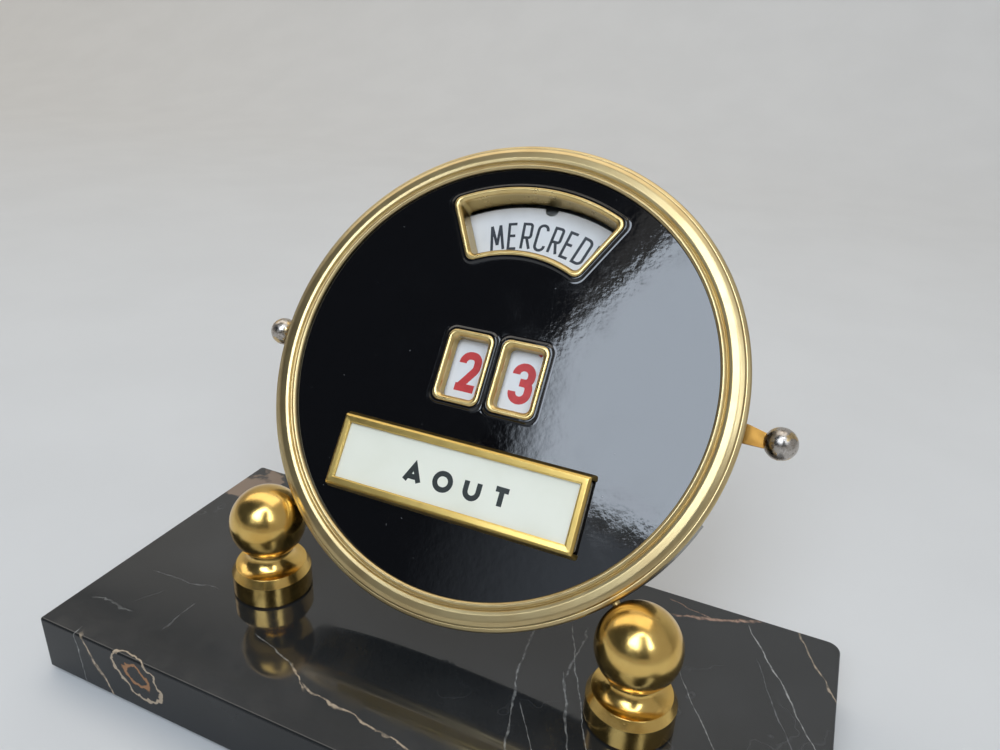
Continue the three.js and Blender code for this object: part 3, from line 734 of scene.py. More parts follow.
@dataclass(frozen=True)
class Lacquer:
    """Black stove lacquer: a deep gloss over an orange-peel surface."""

    name: str
    colour: Colour
    dust: Colour
    roughness: float
    peel_size: float
    peel_depth: float
    speck_spacing: float = 3.1
    speck_height: float = 0.012
    dullest: float = 2.2
    wave_size: float = 3.2
    wave_depth: float = 2.2

    def make(self) -> bpy.types.Material:
        """Makes the material.

        Returns:
            The material, with fine dust caught in it.
        """
        work = Surface(self.name)
        work.set(IOR=1.52, Coat_Weight=0.35, Coat_Roughness=0.03)
        specks = work.cells(self.speck_spacing)
        work.feed("Base Color", work.mix(work.ramp(specks, 0.035, 0.02), self.colour, self.dust))
        dull = self.roughness * self.dullest
        work.feed("Roughness", work.ramp(work.noise(9.0, 4.0), 0.4, 0.7, self.roughness, dull))
        work.emboss(work.noise(self.peel_size, 2.0), self.peel_depth)
        work.emboss(work.noise(self.peel_size * self.wave_size, 1.0), self.peel_depth * self.wave_depth)
        work.emboss(work.ramp(specks, 0.05, 0.0), self.speck_height)
        return work.material


@dataclass(frozen=True)
class Paint:
    """Paint or printing ink: an even colour, lightly mottled, with a soft gloss."""

    name: str
    colour: Colour
    shade: Colour
    roughness: float
    relief: float = 0.002
    mottle: float = 6.0
    duller: float = 0.12

    def make(self) -> bpy.types.Material:
        """Makes the material.

        Returns:
            The material.
        """
        work = Surface(self.name)
        patch = work.ramp(work.noise(self.mottle, 5.0), 0.4, 0.75)
        work.feed("Base Color", work.mix(patch, self.colour, self.shade))
        dull = self.roughness + self.duller
        work.feed("Roughness", work.ramp(work.noise(1.0, 4.0), 0.3, 0.7, self.roughness, dull))
        work.emboss(work.noise(0.22, 2.0), self.relief)
        return work.material


@dataclass(frozen=True)
class CardStock:
    """Ivory card: faint fibres, a satin coating and painted shade in dark brown on its cut sides."""

    name: str
    colour: Colour
    toned: Colour
    # painted shade: the colour of the card's cut sides
    edge: Colour

    def make(self) -> bpy.types.Material:
        """Makes the material.

        Returns:
            The material.
        """
        work = Surface(self.name)
        fibres = work.noise(0.25, 4.0, work.stretched((0.35, 1.0, 1.0)))
        clouds = work.ramp(work.noise(14.0, 3.0), 0.4, 0.7)
        face = work.node("TexCoord", {}).outputs["Normal"]
        flat = work.unsigned(work.height(face))
        paper = work.mix(clouds, self.colour, self.toned)
        # painted shade: faces that don't face up or down take the dark edge colour
        work.feed("Base Color", work.mix(work.ramp(flat, 0.3, 0.7), self.edge, paper))
        work.feed("Roughness", work.ramp(fibres, 0.3, 0.7, 0.38, 0.52))
        work.emboss(fibres, 0.003)
        return work.material


@dataclass(frozen=True)
class Felt:
    """Pressed wool felt."""

    name: str
    colour: Colour
    pale: Colour

    def make(self) -> bpy.types.Material:
        """Makes the material.

        Returns:
            The material, with matted fibres.
        """
        work = Surface(self.name)
        fibres = work.noise(0.4, 6.0)
        work.set(Sheen_Weight=0.5, Roughness=0.95)
        work.feed("Base Color", work.mix(work.ramp(fibres, 0.35, 0.7), self.colour, self.pale))
        work.emboss(fibres, 0.12)
        return work.material


@dataclass(frozen=True)
class Vein:
    """A sheet of paler mineral through the stone, seen as a line on its surface.

    The sheet stands upright under the line from start to end, both on the slab's
    top, and wanders to each side by its wobble.
    """

    start: Flat
    end: Flat
    width: float
    colour: Colour
    strength: float = 1.0
    wobble: float = 2.0
    lump: float = 9.0
    lean: float = 0.0


@dataclass(frozen=True)
class Eye:
    """A closed mineral shell at the slab's front edge, with a warm shell inside it.

    Each band is a shell's place and half thickness, as shares of the eye's size.
    """

    centre: Point
    size: Point
    tilt: float
    colour: Colour
    heart: Colour
    outer_band: Flat = (1.0, 0.075)
    inner_band: Flat = (0.46, 0.13)
    wave: float = 0.16
    strength: float = 0.9


@dataclass(frozen=True)
class Marble:
    """Polished black marble with cream, white and rust veins."""

    name: str
    ground: Colour
    cloud: Colour
    veins: tuple[Vein, ...]
    eye: Eye
    patch: Flat
    patch_size: float
    patch_colour: Colour
    patch_height: float = 13.0
    wisp: Colour = (0.12, 0.12, 0.125)
    top_gloss: float = 0.62
    side_gloss: float = 0.16

    def line(self, work: Surface, vein: Vein) -> Socket:
        """Works out how strongly one vein shows.

        Args:
            work: the material being wired.
            vein: the vein.

        Returns:
            A value from nothing to the vein's strength.
        """
        start, end = Vector(vein.start), Vector(vein.end)
        along = (end - start).normalized()
        across = Vector((-along.y, along.x))
        middle = (start + end) / 2
        half = (end - start).length / 2
        wander = work.sum(work.noise(vein.lump, 9.0), 0.5, "SUBTRACT")
        sideways = self.distance(work, across, middle, vein.lean)
        shifted = work.sum(wander, vein.wobble * 2 * MM, "MULTIPLY_ADD", sideways)
        width = work.ramp(work.noise(3.0, 3.0), 0.3, 0.7, vein.width * 0.35 * MM, vein.width * MM)
        near = work.sum(work.unsigned(shifted), width, "DIVIDE")
        length = work.unsigned(self.distance(work, along, middle, 0.0))
        ends = work.ramp(length, (half - 1.0) * MM, (half + 1.0) * MM, 1.0, 0.0)
        broken = work.ramp(work.noise(1.1, 6.0), 0.32, 0.62, 0.25, 1.0)
        shown = work.sum(work.ramp(near, 0.25, 1.0, vein.strength, 0.0), broken, "MULTIPLY")
        return work.sum(shown, ends, "MULTIPLY")

    def distance(self, work: Surface, way: Vector, through: Vector, lean: float) -> Socket:
        """Measures the place along a direction from a point on the top.

        Args:
            work: the material being wired.
            way: the direction, on the top.
            through: where the distance is nothing.
            lean: how far the measure shifts for each unit of depth.

        Returns:
            The distance in metres.
        """
        direction = (way.x, way.y, lean)
        dot = work.node("VectorMath", {0: work.place, 1: direction}, operation="DOT_PRODUCT")
        return work.sum(dot.outputs["Value"], way.dot(through) * MM, "SUBTRACT")

    def loops(self, work: Surface) -> tuple[Socket, Socket]:
        """Works out the mineral shell at the front edge and the warm one inside it.

        Args:
            work: the material being wired.

        Returns:
            How strongly the outer shell shows, and the inner one.
        """
        turn = Matrix.Rotation(math.radians(self.eye.tilt), 3, "Y")
        centre = Vector(self.eye.centre)
        total: Value = 0.0
        for axis, size in zip(turn.transposed(), self.eye.size):
            dot = work.node("VectorMath", {0: work.place, 1: tuple(axis)}, operation="DOT_PRODUCT")
            along = work.sum(dot.outputs["Value"], axis.dot(centre) * MM, "SUBTRACT")
            share = work.sum(along, size * MM, "DIVIDE")
            total = work.sum(work.sum(share, share, "MULTIPLY"), total)
        reach = work.sum(total, 0.5, "POWER")
        wave = work.ramp(work.noise(3.0, 6.0), 0.25, 0.75, -self.eye.wave, self.eye.wave)
        wavy = work.sum(reach, wave)
        bands = []
        for middle, half in (self.eye.outer_band, self.eye.inner_band):
            near = work.unsigned(work.sum(wavy, middle, "SUBTRACT"))
            bands.append(work.ramp(near, half * 0.4, half, self.eye.strength, 0.0))
        return bands[0], bands[1]

    def wisps(self, work: Surface) -> Socket:
        """Works out how strongly the faint wisps between the veins show.

        Args:
            work: the material being wired.

        Returns:
            The wisps' share.
        """
        apart = work.unsigned(work.sum(work.noise(17.0, 3.0), 0.5, "SUBTRACT"))
        region = work.ramp(work.noise(31.0, 2.0), 0.5, 0.66)
        return work.sum(work.ramp(apart, 0.0, 0.007, 0.22, 0.0), region, "MULTIPLY")

    def patch_share(self, work: Surface) -> Socket:
        """Works out how strongly the brown patch at one corner shows.

        Args:
            work: the material being wired.

        Returns:
            The patch's share.
        """
        centre = tuple(c * MM for c in (*self.patch, self.patch_height))
        apart = work.node("VectorMath", {0: work.place, 1: centre}, operation="DISTANCE")
        ragged = work.ramp(work.noise(8.0, 5.0), 0.2, 0.8, -4 * MM, 4 * MM)
        reach = work.sum(apart.outputs["Value"], ragged)
        return work.ramp(reach, (self.patch_size - 1.5) * MM, self.patch_size * MM, 0.85, 0.0)

    def make(self) -> bpy.types.Material:
        """Makes the material.

        Returns:
            The material, its veins drawn through the whole thickness.
        """
        work = Surface(self.name)
        work.set(IOR=1.6)
        clouds = work.ramp(work.noise(22.0, 8.0), 0.45, 0.75)
        colour = work.mix(clouds, self.ground, self.cloud)
        colour = work.mix(self.wisps(work), colour, self.wisp)
        colour = work.mix(self.patch_share(work), colour, self.patch_colour)
        for vein in self.veins:
            colour = work.mix(self.line(work, vein), colour, vein.colour)
        ring, heart = self.loops(work)
        colour = work.mix(ring, colour, self.eye.colour)
        colour = work.mix(heart, colour, self.eye.heart)
        work.feed("Base Color", colour)
        face = work.node("TexCoord", {}).outputs["Normal"]
        upward = work.unsigned(work.height(face))
        work.feed("Specular IOR Level", work.ramp(upward, 0.4, 0.95, self.side_gloss, self.top_gloss))
        work.feed("Roughness", work.ramp(work.noise(5.0, 5.0), 0.35, 0.7, 0.05, 0.12))
        work.emboss(work.noise(11.0, 2.0), 0.006)
        work.emboss(work.noise(0.6, 2.0), 0.0006)
        return work.material


Finish = Brass | Steel | WornPlate | Lacquer | Paint | CardStock | Felt | Marble


# ---------------------------------------------------------------- the pieces


@dataclass
class Workshop:
    """Makes pieces: places a mesh, dresses it and lets it ride on its body."""

    place: Matrix
    finishes: dict[str, bpy.types.Material] = field(default_factory=dict)
    count: int = 0
    face_weight: int = 80
    weld_reach: float = 1e-6
    ease_angle: float = 40.0
    ease_steps: int = 2

    def finish(self, recipe: Finish) -> bpy.types.Material:
        """Makes a finish once and hands out the same one afterwards.

        Args:
            recipe: the finish.

        Returns:
            Its material.
        """
        if recipe.name not in self.finishes:
            self.finishes[recipe.name] = recipe.make()
        return self.finishes[recipe.name]

    def body(self, node: str) -> str:
        """The body on which a CAD node rides."""
        groups = frame["record"]["behaviour"]["bodies"]
        return next(name for name, members in groups.items() if node in members)

    def slot(self, node: str) -> str:
        """The record's material slot of a CAD node."""
        rows = frame["record"]["subparts"]
        return next(row["material_slot"] for row in rows if row["node"] == node)

    def piece(
        self,
        name: str,
        mesh: bpy.types.Mesh,
        recipe: Finish,
        node: str,
        on_dial: bool = True,
        replaces: bool = True,
        crease: float = 32.0,
    ) -> bpy.types.Object:
        """Turns a mesh into a dressed piece of the calendar.

        Args:
            name: the piece's name.
            mesh: its mesh, in metres.
            recipe: its finish.
            node: the CAD node it stands for, or beside which it lies.
            on_dial: whether the mesh is drawn in the dial's axes.
            replaces: whether it stands for the node.
            crease: faces that meet at a sharper angle than this stay apart.

        Returns:
            The piece.
        """
        item = bpy.data.objects.new(name, mesh)
        bpy.context.scene.collection.objects.link(item)
        if on_dial:
            item.matrix_world = self.place
        mesh.materials.append(self.finish(recipe))
        mesh.shade_smooth()
        mesh.set_sharp_from_angle(angle=math.radians(crease))
        even = item.modifiers.new("even_shading", "WEIGHTED_NORMAL")
        even.keep_sharp = True
        even.weight = self.face_weight
        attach(item, self.body(node))
        if replaces:
            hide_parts(node)
            self.slot(node)
        self.count += 1
        log.info("%s: %d faces", name, len(mesh.polygons))
        return item

    def dress(self, node: str, recipe: Finish, ease: float = 0.06) -> None:
        """Gives a CAD node its finish and eases its edges.

        Args:
            node: the node.
            recipe: its finish.
            ease: how far its edges are eased; nothing leaves them sharp.
        """
        item = frame["nodes"][node]
        item.data.materials.clear()
        item.data.materials.append(self.finish(recipe))
        weld = item.modifiers.new("weld", "WELD")
        weld.merge_threshold = self.weld_reach
        if ease > 0:
            bevel = item.modifiers.new("ease", "BEVEL")
            bevel.width = ease * MM
            bevel.segments = self.ease_steps
            bevel.limit_method = "ANGLE"
            bevel.angle_limit = math.radians(self.ease_angle)
            bevel.harden_normals = True
        log.info("%s: dressed", node)

    def extent(self, node: str) -> tuple[Vector, Vector]:
        """Measures a CAD node along the dial's own axes.

        Args:
            node: the node.

        Returns:
            Its lowest and highest corners in millimetres.
        """
        into = self.place.inverted()
        points = [into @ v.co / MM for v in frame["nodes"][node].data.vertices]
        low = Vector(min(p[i] for p in points) for i in range(3))
        high = Vector(max(p[i] for p in points) for i in range(3))
        return low, high


def dial_place(lever_depth: float) -> Matrix:
    """Finds the dial's place from the axes of its two levers.

    Args:
        lever_depth: how far the lever hinges lie behind the face, in millimetres.

    Returns:
        The matrix from the dial's axes to the row frame.
    """
    joints = {joint["name"]: joint for joint in frame["joints"]}
    out = Vector(joints["left_lever"]["axis"]).normalized()
    right = Vector(joints["right_lever"]["pos_m"])
    left = Vector(joints["left_lever"]["pos_m"])
    across = (right - left).normalized()
    centre = (right + left) / 2 + out * lever_depth * MM
    up = out.cross(across)
    turn = Matrix((across, up, out)).transposed().to_4x4()
    return Matrix.Translation(centre) @ turn


# ----------------------------------------------------------------- lettering

Stroke = tuple[bool, tuple[Corner, ...]]


def stroke(*corners: Corner) -> Stroke:
    """An open stroke through its corners, each a place in a unit square and a rounding."""
    return False, corners


def loop(*corners: Corner) -> Stroke:
    """A closed stroke through its corners."""
    return True, corners


# each letter's width, as a share of a full one, and its strokes
GLYPHS: dict[str, tuple[float, tuple[Stroke, ...]]] = {
    "A": (1.0, (
        stroke((0, 0, 0), (0.5, 1, 0), (1, 0, 0)),
        stroke((0.2, 0.3, 0), (0.8, 0.3, 0)),
    )),
    "B": (0.85, (
        loop((0, 0, 0), (0, 0.53, 0), (1, 0.53, 0.3), (1, 0, 0.3)),
        loop((0, 0.53, 0), (0, 1, 0), (0.9, 1, 0.3), (0.9, 0.53, 0.3)),
    )),
    "C": (0.9, (
        stroke((1, 0.8, 0), (1, 1, 0.5), (0, 1, 0.5), (0, 0, 0.5), (1, 0, 0.5), (1, 0.2, 0)),
    )),
    "D": (0.9, (
        loop((0, 0, 0), (0, 1, 0), (1, 1, 0.5), (1, 0, 0.5)),
    )),
    "E": (0.75, (
        stroke((1, 1, 0), (0, 1, 0), (0, 0, 0), (1, 0, 0)),
        stroke((0, 0.52, 0), (0.85, 0.52, 0)),
    )),
    "F": (0.75, (
        stroke((1, 1, 0), (0, 1, 0), (0, 0, 0)),
        stroke((0, 0.5, 0), (0.85, 0.5, 0)),
    )),
    "H": (0.9, (
        stroke((0, 0, 0), (0, 1, 0)),
        stroke((1, 0, 0), (1, 1, 0)),
        stroke((0, 0.5, 0), (1, 0.5, 0)),
    )),
    "I": (0.0, (
        stroke((0, 0, 0), (0, 1, 0)),
    )),
    "J": (0.6, (
        stroke((1, 1, 0), (1, 0, 0.5), (0, 0, 0.5), (0, 0.25, 0)),
    )),
    "L": (0.7, (
        stroke((0, 1, 0), (0, 0, 0), (1, 0, 0)),
    )),
    "M": (1.15, (
        stroke((0, 0, 0), (0.12, 1, 0)),
        stroke((0.12, 1, 0), (0.5, 0.2, 0)),
        stroke((0.5, 0.2, 0), (0.88, 1, 0)),
        stroke((0.88, 1, 0), (1, 0, 0)),
    )),
    "N": (0.95, (
        stroke((0, 0, 0), (0, 1, 0)),
        stroke((0, 1, 0), (1, 0, 0)),
        stroke((1, 0, 0), (1, 1, 0)),
    )),
    "O": (1.05, (
        loop((0, 0, 0.55), (0, 1, 0.55), (1, 1, 0.55), (1, 0, 0.55)),
    )),
    "P": (0.8, (
        stroke((0, 0, 0), (0, 1, 0), (1, 1, 0.3), (1, 0.45, 0.3), (0, 0.45, 0)),
    )),
    "R": (0.8, (
        stroke((0, 0, 0), (0, 1, 0), (1, 1, 0.3), (1, 0.45, 0.3), (0, 0.45, 0)),
        stroke((0.5, 0.45, 0), (1, 0, 0)),
    )),
    "S": (0.75, (
        stroke(
            (1, 0.82, 0), (1, 1, 0.4), (0, 1, 0.4), (0, 0.52, 0.4),
            (1, 0.52, 0.4), (1, 0, 0.4), (0, 0, 0.4), (0, 0.18, 0),
        ),
    )),
    "T": (0.85, (
        stroke((0, 1, 0), (1, 1, 0)),
        stroke((0.5, 1, 0), (0.5, 0, 0)),
    )),
    "U": (0.85, (
        stroke((0, 1, 0), (0, 0, 0.5), (1, 0, 0.5), (1, 1, 0)),
    )),
    "V": (0.95, (
        stroke((0, 1, 0), (0.5, 0, 0)),
        stroke((0.5, 0, 0), (1, 1, 0)),
    )),
    "0": (1.0, (
        loop((0, 0, 0.5), (0, 1, 0.5), (1, 1, 0.5), (1, 0, 0.5)),
    )),
    "1": (0.45, (
        stroke((0, 0.82, 0), (0.95, 1.06, 0), (0.95, -0.06, 0)),
    )),
    "2": (1.0, (
        stroke((0, 0.74, 0), (0, 1, 0.5), (1, 1, 0.5), (1, 0.6, 0.55), (0.14, 0, 0)),
        stroke((-0.12, 0, 0), (1.16, 0, 0)),
    )),
    "3": (1.0, (
        stroke((0, 0.76, 0), (0, 1, 0.5), (1, 1, 0.5), (1, 0.53, 0.35), (0.35, 0.53, 0)),
        stroke((0.35, 0.53, 0), (1, 0.53, 0.35), (1, 0, 0.5), (0, 0, 0.5), (0, 0.24, 0)),
    )),
    "4": (1.05, (
        stroke((0.72, -0.06, 0), (0.72, 1, 0), (0, 0.28, 0), (1.1, 0.28, 0)),
    )),
    "5": (1.0, (
        stroke(
            (1, 1, 0), (0.05, 1, 0), (0.05, 0.56, 0), (1, 0.6, 0.45),
            (1, 0, 0.5), (0, 0, 0.5), (0, 0.22, 0),
        ),
    )),
    "6": (1.0, (
        stroke((1, 0.78, 0), (1, 1, 0.5), (0, 1, 0.5), (0, 0.3, 0)),
        loop((0, 0, 0.5), (0, 0.56, 0.4), (1, 0.56, 0.45), (1, 0, 0.5)),
    )),
    "7": (1.0, (
        stroke((-0.05, 1, 0), (1, 1, 0), (0.35, -0.06, 0)),
    )),
    "8": (1.0, (
        loop((0, 0, 0.5), (0, 0.53, 0.4), (1, 0.53, 0.4), (1, 0, 0.5)),
        loop((0.05, 0.53, 0.4), (0.05, 1, 0.45), (0.95, 1, 0.45), (0.95, 0.53, 0.4)),
    )),
    "9": (1.0, (
        stroke((0, 0.22, 0), (0, 0, 0.5), (1, 0, 0.5), (1, 0.7, 0)),
        loop((0, 0.44, 0.45), (0, 1, 0.5), (1, 1, 0.5), (1, 0.44, 0.4)),
    )),
}


@dataclass(frozen=True)
class Hand:
    """A style of lettering: the size and weight of its strokes."""

    height: float
    width: float
    stroke: float
    gap: float
    ink: float = 0.009
    step: float = 0.0015
    bend_steps: int = 6
    least_width: float = 1e-6
    least_stretch: float = 1e-4
    least_mitre: float = 0.45

    def advance(self, letter: str) -> float:
        """How wide a letter is, its strokes included."""
        return GLYPHS[letter][0] * (self.width - self.stroke) + self.stroke

    def strokes(self, letter: str) -> list[tuple[bool, list[Flat]]]:
        """Draws a letter's strokes along their middles.

        Args:
            letter: the letter.

        Returns:
            Each stroke's closedness and points, from the letter's left foot.
        """
        share, lines = GLYPHS[letter]
        wide = max(share * (self.width - self.stroke), self.least_width)
        high = self.height - self.stroke
        edge = self.stroke / 2
        drawn = []
        for closed, corners in lines:
            sized = [(edge + x * wide, edge + y * high, r * wide) for x, y, r in corners]
            drawn.append((closed, filleted(sized, closed, self.bend_steps)))
        return drawn

    def edges(self, closed: bool, points: list[Vector]) -> tuple[list[Vector], list[Vector]]:
        """Draws both edges of a stroke, mitred at its bends.

        Args:
            closed: whether the stroke closes on itself.
            points: its middle line.

        Returns:
            The points of the left edge and of the right one.
        """
        line = points[:1]
        for before, here in zip(points, points[1:]):
            if (here - before).length > self.least_stretch:
                line.append(here)
        count = len(line)
        left, right = [], []
        for i, here in enumerate(line):
            before = line[i - 1] if i > 0 or closed else None
            after = line[(i + 1) % count] if i < count - 1 or closed else None
            into = (here - before).normalized() if before is not None else (after - here).normalized()
            out = (after - here).normalized() if after is not None else into
            across = Vector((-into.y, into.x))
            side = Vector((-into.y - out.y, into.x + out.x))
            side = side.normalized() if side.length > self.least_width else across
            reach = self.stroke / 2 / max(side.dot(across), self.least_mitre)
            left.append(here + side * reach)
            right.append(here - side * reach)
        return left, right

    def ribbon(self, draft: Draft, closed: bool, points: list[Flat], put: Matrix, level: float) -> None:
        """Lays one stroke down as a thin closed ribbon of ink.

        Args:
            draft: the mesh being made.
            closed: whether the stroke closes on itself.
            points: its middle line.
            put: where the letter goes.
            level: the height of its upper face.
        """
        left, right = self.edges(closed, [Vector(p) for p in points])
        rows = []
        foot = level - self.ink
        for edge, height in ((left, level), (right, level), (right, foot), (left, foot)):
            rows.append(draft.ring((put @ Vector((p.x, p.y, height))).to_tuple() for p in edge))
        for first, second in zip(rows, (*rows[1:], rows[0])):
            draft.bridge(first, second, closed)
        if not closed:
            draft.cap([row[0] for row in rows])
            draft.cap([row[-1] for row in rows])

    def letter(self, draft: Draft, letter: str, put: Matrix, surface: float) -> None:
        """Writes one letter with its strokes a hair above one another.

        Args:
            draft: the mesh being made.
            letter: the letter.
            put: where its left foot goes, in the dial's axes.
            surface: the height of the surface it is printed on.
        """
        for i, (closed, points) in enumerate(self.strokes(letter)):
            self.ribbon(draft, closed, points, put, surface + self.ink + i * self.step)

    def word(
        self,
        draft: Draft,
        text: str,
        centre: Flat,
        surface: float,
        flip: Matrix = Matrix.Identity(4),
    ) -> None:
        """Writes a word in a straight line about its middle.

        Args:
            draft: the mesh being made.
            text: the word.
            centre: the word's middle.
            surface: the height of the surface it is printed on.
            flip: a last change of place, such as a turn to the card's back.
        """
        widths = [self.advance(letter) for letter in text]
        x = centre[0] - (sum(widths) + self.gap * (len(text) - 1)) / 2
        for letter, width in zip(text, widths):
            put = flip @ Matrix.Translation((x, centre[1] - self.height / 2, 0))
            self.letter(draft, letter, put, surface)
            x += width + self.gap

    def arched(self, draft: Draft, text: str, radius: float, middle: float, surface: float) -> None:
        """Writes a word along an arc round the disc's middle.

        Args:
            draft: the mesh being made.
            text: the word.
            radius: where its letters stand.
            middle: the angle of its middle, in degrees.
            surface: the height of the surface it is printed on.
        """
        widths = [self.advance(letter) for letter in text]
        x = -(sum(widths) + self.gap * (len(text) - 1)) / 2
        for letter, width in zip(text, widths):
            turn = math.radians(middle - 90) - (x + width / 2) / (radius + self.height / 2)
            put = Matrix.Rotation(turn, 4, "Z") @ Matrix.Translation((-width / 2, radius, 0))
            self.letter(draft, letter, put, surface)
            x += width + self.gap


# -------------------------------------------------- the calendar's own finishes

POLISHED_BRASS = Brass(
    "polished_brass", (0.80, 0.54, 0.17), (0.70, 0.43, 0.11), 0.17, 0.26, pits=0.02,
)
BEZEL_BRASS = Brass(
    "bezel_brass", (0.60, 0.47, 0.24), (0.55, 0.41, 0.20), 0.32, 0.36, Grain.SPUN, grain_depth=0.0004,
)
# the last colour is painted shade on the windows' walls below the face
WINDOW_BRASS = Brass(
    "window_brass", (0.74, 0.56, 0.25), (0.66, 0.48, 0.19), 0.27, 0.34, recess=(0.46, 0.33, 0.12),
)
FRAME_BRASS = Brass(
    "frame_brass", (0.72, 0.51, 0.16), (0.66, 0.45, 0.13), 0.28, 0.34, Grain.ROLLED, grain_depth=0.0005,
)
LEVER_BRASS = Brass("lever_brass", (0.33, 0.175, 0.04), (0.30, 0.13, 0.025), 0.36, 0.5, Grain.ROLLED)
MOVEMENT_BRASS = Brass("movement_brass", (0.72, 0.56, 0.27), (0.50, 0.36, 0.15), 0.26, 0.42, Grain.ROLLED)
CASE_SHEET = Steel("case_sheet", (0.20, 0.20, 0.195), (0.11, 0.105, 0.095), 0.22, 0.42)
PLATE_STEEL = Steel("plate_steel", (0.55, 0.57, 0.57), (0.40, 0.41, 0.40), 0.28, 0.46, (0.05, 1.0, 1.0))
SCREW_STEEL = Steel("screw_steel", (0.58, 0.58, 0.57), (0.36, 0.33, 0.29), 0.2, 0.4, (1.0, 1.0, 0.1))
SPRING_STEEL = Steel("spring_steel", (0.42, 0.44, 0.47), (0.28, 0.29, 0.33), 0.22, 0.36, (0.08, 1.0, 1.0))
NICKEL = WornPlate("worn_nickel", (0.50, 0.46, 0.42), (0.62, 0.46, 0.24), (0.22, 0.19, 0.16))
BLACK_LACQUER = Lacquer("black_lacquer", (0.0022, 0.0022, 0.003), (0.20, 0.20, 0.20), 0.05, 0.7, 0.0085)
DISC_PAINT = Paint("disc_paint", (0.80, 0.81, 0.82), (0.74, 0.75, 0.76), 0.32)
RED_INK = Paint("red_ink", (0.60, 0.028, 0.028), (0.50, 0.02, 0.02), 0.36, mottle=2.0)
BLUE_BLACK_INK = Paint("blue_black_ink", (0.018, 0.024, 0.034), (0.03, 0.038, 0.05), 0.4, mottle=2.0)
SLATE_INK = Paint("slate_ink", (0.012, 0.018, 0.016), (0.02, 0.028, 0.025), 0.42, mottle=2.0)
# the last colour is painted shade on the cards' cut sides
IVORY_CARD = CardStock("ivory_card", (0.84, 0.84, 0.72), (0.80, 0.80, 0.67), (0.16, 0.11, 0.05))
GREEN_FELT = Felt("green_felt", (0.012, 0.035, 0.02), (0.03, 0.07, 0.045))

CREAM = (0.48, 0.38, 0.27)
ROSE = (0.42, 0.26, 0.18)
WHITE = (0.42, 0.42, 0.40)
GREY = (0.17, 0.17, 0.175)
BLACK_MARBLE = Marble(
    "black_marble",
    ground=(0.017, 0.018, 0.0185),
    cloud=(0.026, 0.027, 0.028),
    veins=(
        Vein((41.5, 27.0), (52.0, 30.0), 0.9, ROSE, 0.85, 1.2, 4.0),
        Vein((51.0, 29.5), (59.0, 33.5), 0.8, ROSE, 0.85, 1.2, 4.0),
        Vein((40.0, 31.5), (49.0, 29.8), 0.28, ROSE, 0.7, 1.0, 5.0),
        Vein((56.5, 31.0), (66.5, 14.0), 0.26, WHITE, 0.75, 1.2, 9.0),
        Vein((66.0, 15.0), (73.5, 1.0), 0.26, WHITE, 0.75, 1.2, 9.0),
        Vein((59.5, 21.5), (69.5, -2.0), 0.18, GREY, 0.8, 1.4, 12.0),
        Vein((66.5, 34.2), (70.0, 26.5), 0.34, CREAM, 0.6, 1.2, 6.0),
        Vein((69.5, 27.5), (75.8, 15.0), 0.36, CREAM, 0.75, 1.0, 6.0),
        Vein((46.5, 11.0), (57.0, -7.0), 0.2, WHITE, 0.6, 1.0, 10.0),
        Vein((16.5, 9.0), (17.5, -2.5), 0.38, WHITE, 0.4, 1.6, 6.0),
        Vein((17.2, -1.5), (25.0, -27.0), 0.36, WHITE, 0.5, 1.8, 8.0),
        Vein((23.0, 13.5), (37.5, -19.0), 0.2, WHITE, 0.7, 1.4, 8.0),
        Vein((26.5, 14.0), (26.5, -0.5), 0.4, WHITE, 0.42, 1.6, 7.0),
        Vein((26.4, 0.5), (35.0, -22.0), 0.36, WHITE, 0.5, 1.6, 8.0),
        Vein((21.5, -10.5), (29.0, -21.5), 0.18, WHITE, 0.6, 1.0, 7.0),
        Vein((-33.0, -18.0), (-20.5, -21.7), 0.2, WHITE, 0.5, 1.4, 6.0),
        Vein((-21.5, -21.0), (-16.0, -25.0), 0.36, CREAM, 0.9, 1.4, 5.0),
        Vein((-17.0, -24.5), (10.0, -28.3), 0.42, CREAM, 0.9, 1.8, 6.0),
        Vein((-66.0, -12.5), (-50.0, -10.8), 0.28, GREY, 0.6, 2.0, 8.0),
        Vein((-70.5, -24.2), (-60.0, -24.0), 0.5, WHITE, 0.25, 2.6, 6.0),
        Vein((-51.0, -25.0), (-51.3, -16.5), 0.3, GREY, 0.5, 2.4, 8.0),
        Vein((-55.9, -46.0), (-55.9, -33.2), 0.9, CREAM, 1.0, 1.6, 4.0, -0.6),
        Vein((-64.0, -46.0), (-64.0, -32.4), 0.2, WHITE, 0.6, 0.8, 3.0, -0.1),
        Vein((-10.0, 34.0), (-52.0, 14.0), 0.3, GREY, 0.6, 2.4, 12.0),
        Vein((2.0, 34.5), (-14.0, 8.0), 0.25, WHITE, 0.45, 2.0, 12.0),
    ),
    eye=Eye((-49.3, -34.2, 9.6), (6.4, 1.9, 4.6), 38.0, CREAM, (0.36, 0.17, 0.07)),
    patch=(-70.0, 25.5),
    patch_size=7.5,
    patch_colour=(0.26, 0.18, 0.125),
)


# -------------------------------------------------------------- sub-assemblies


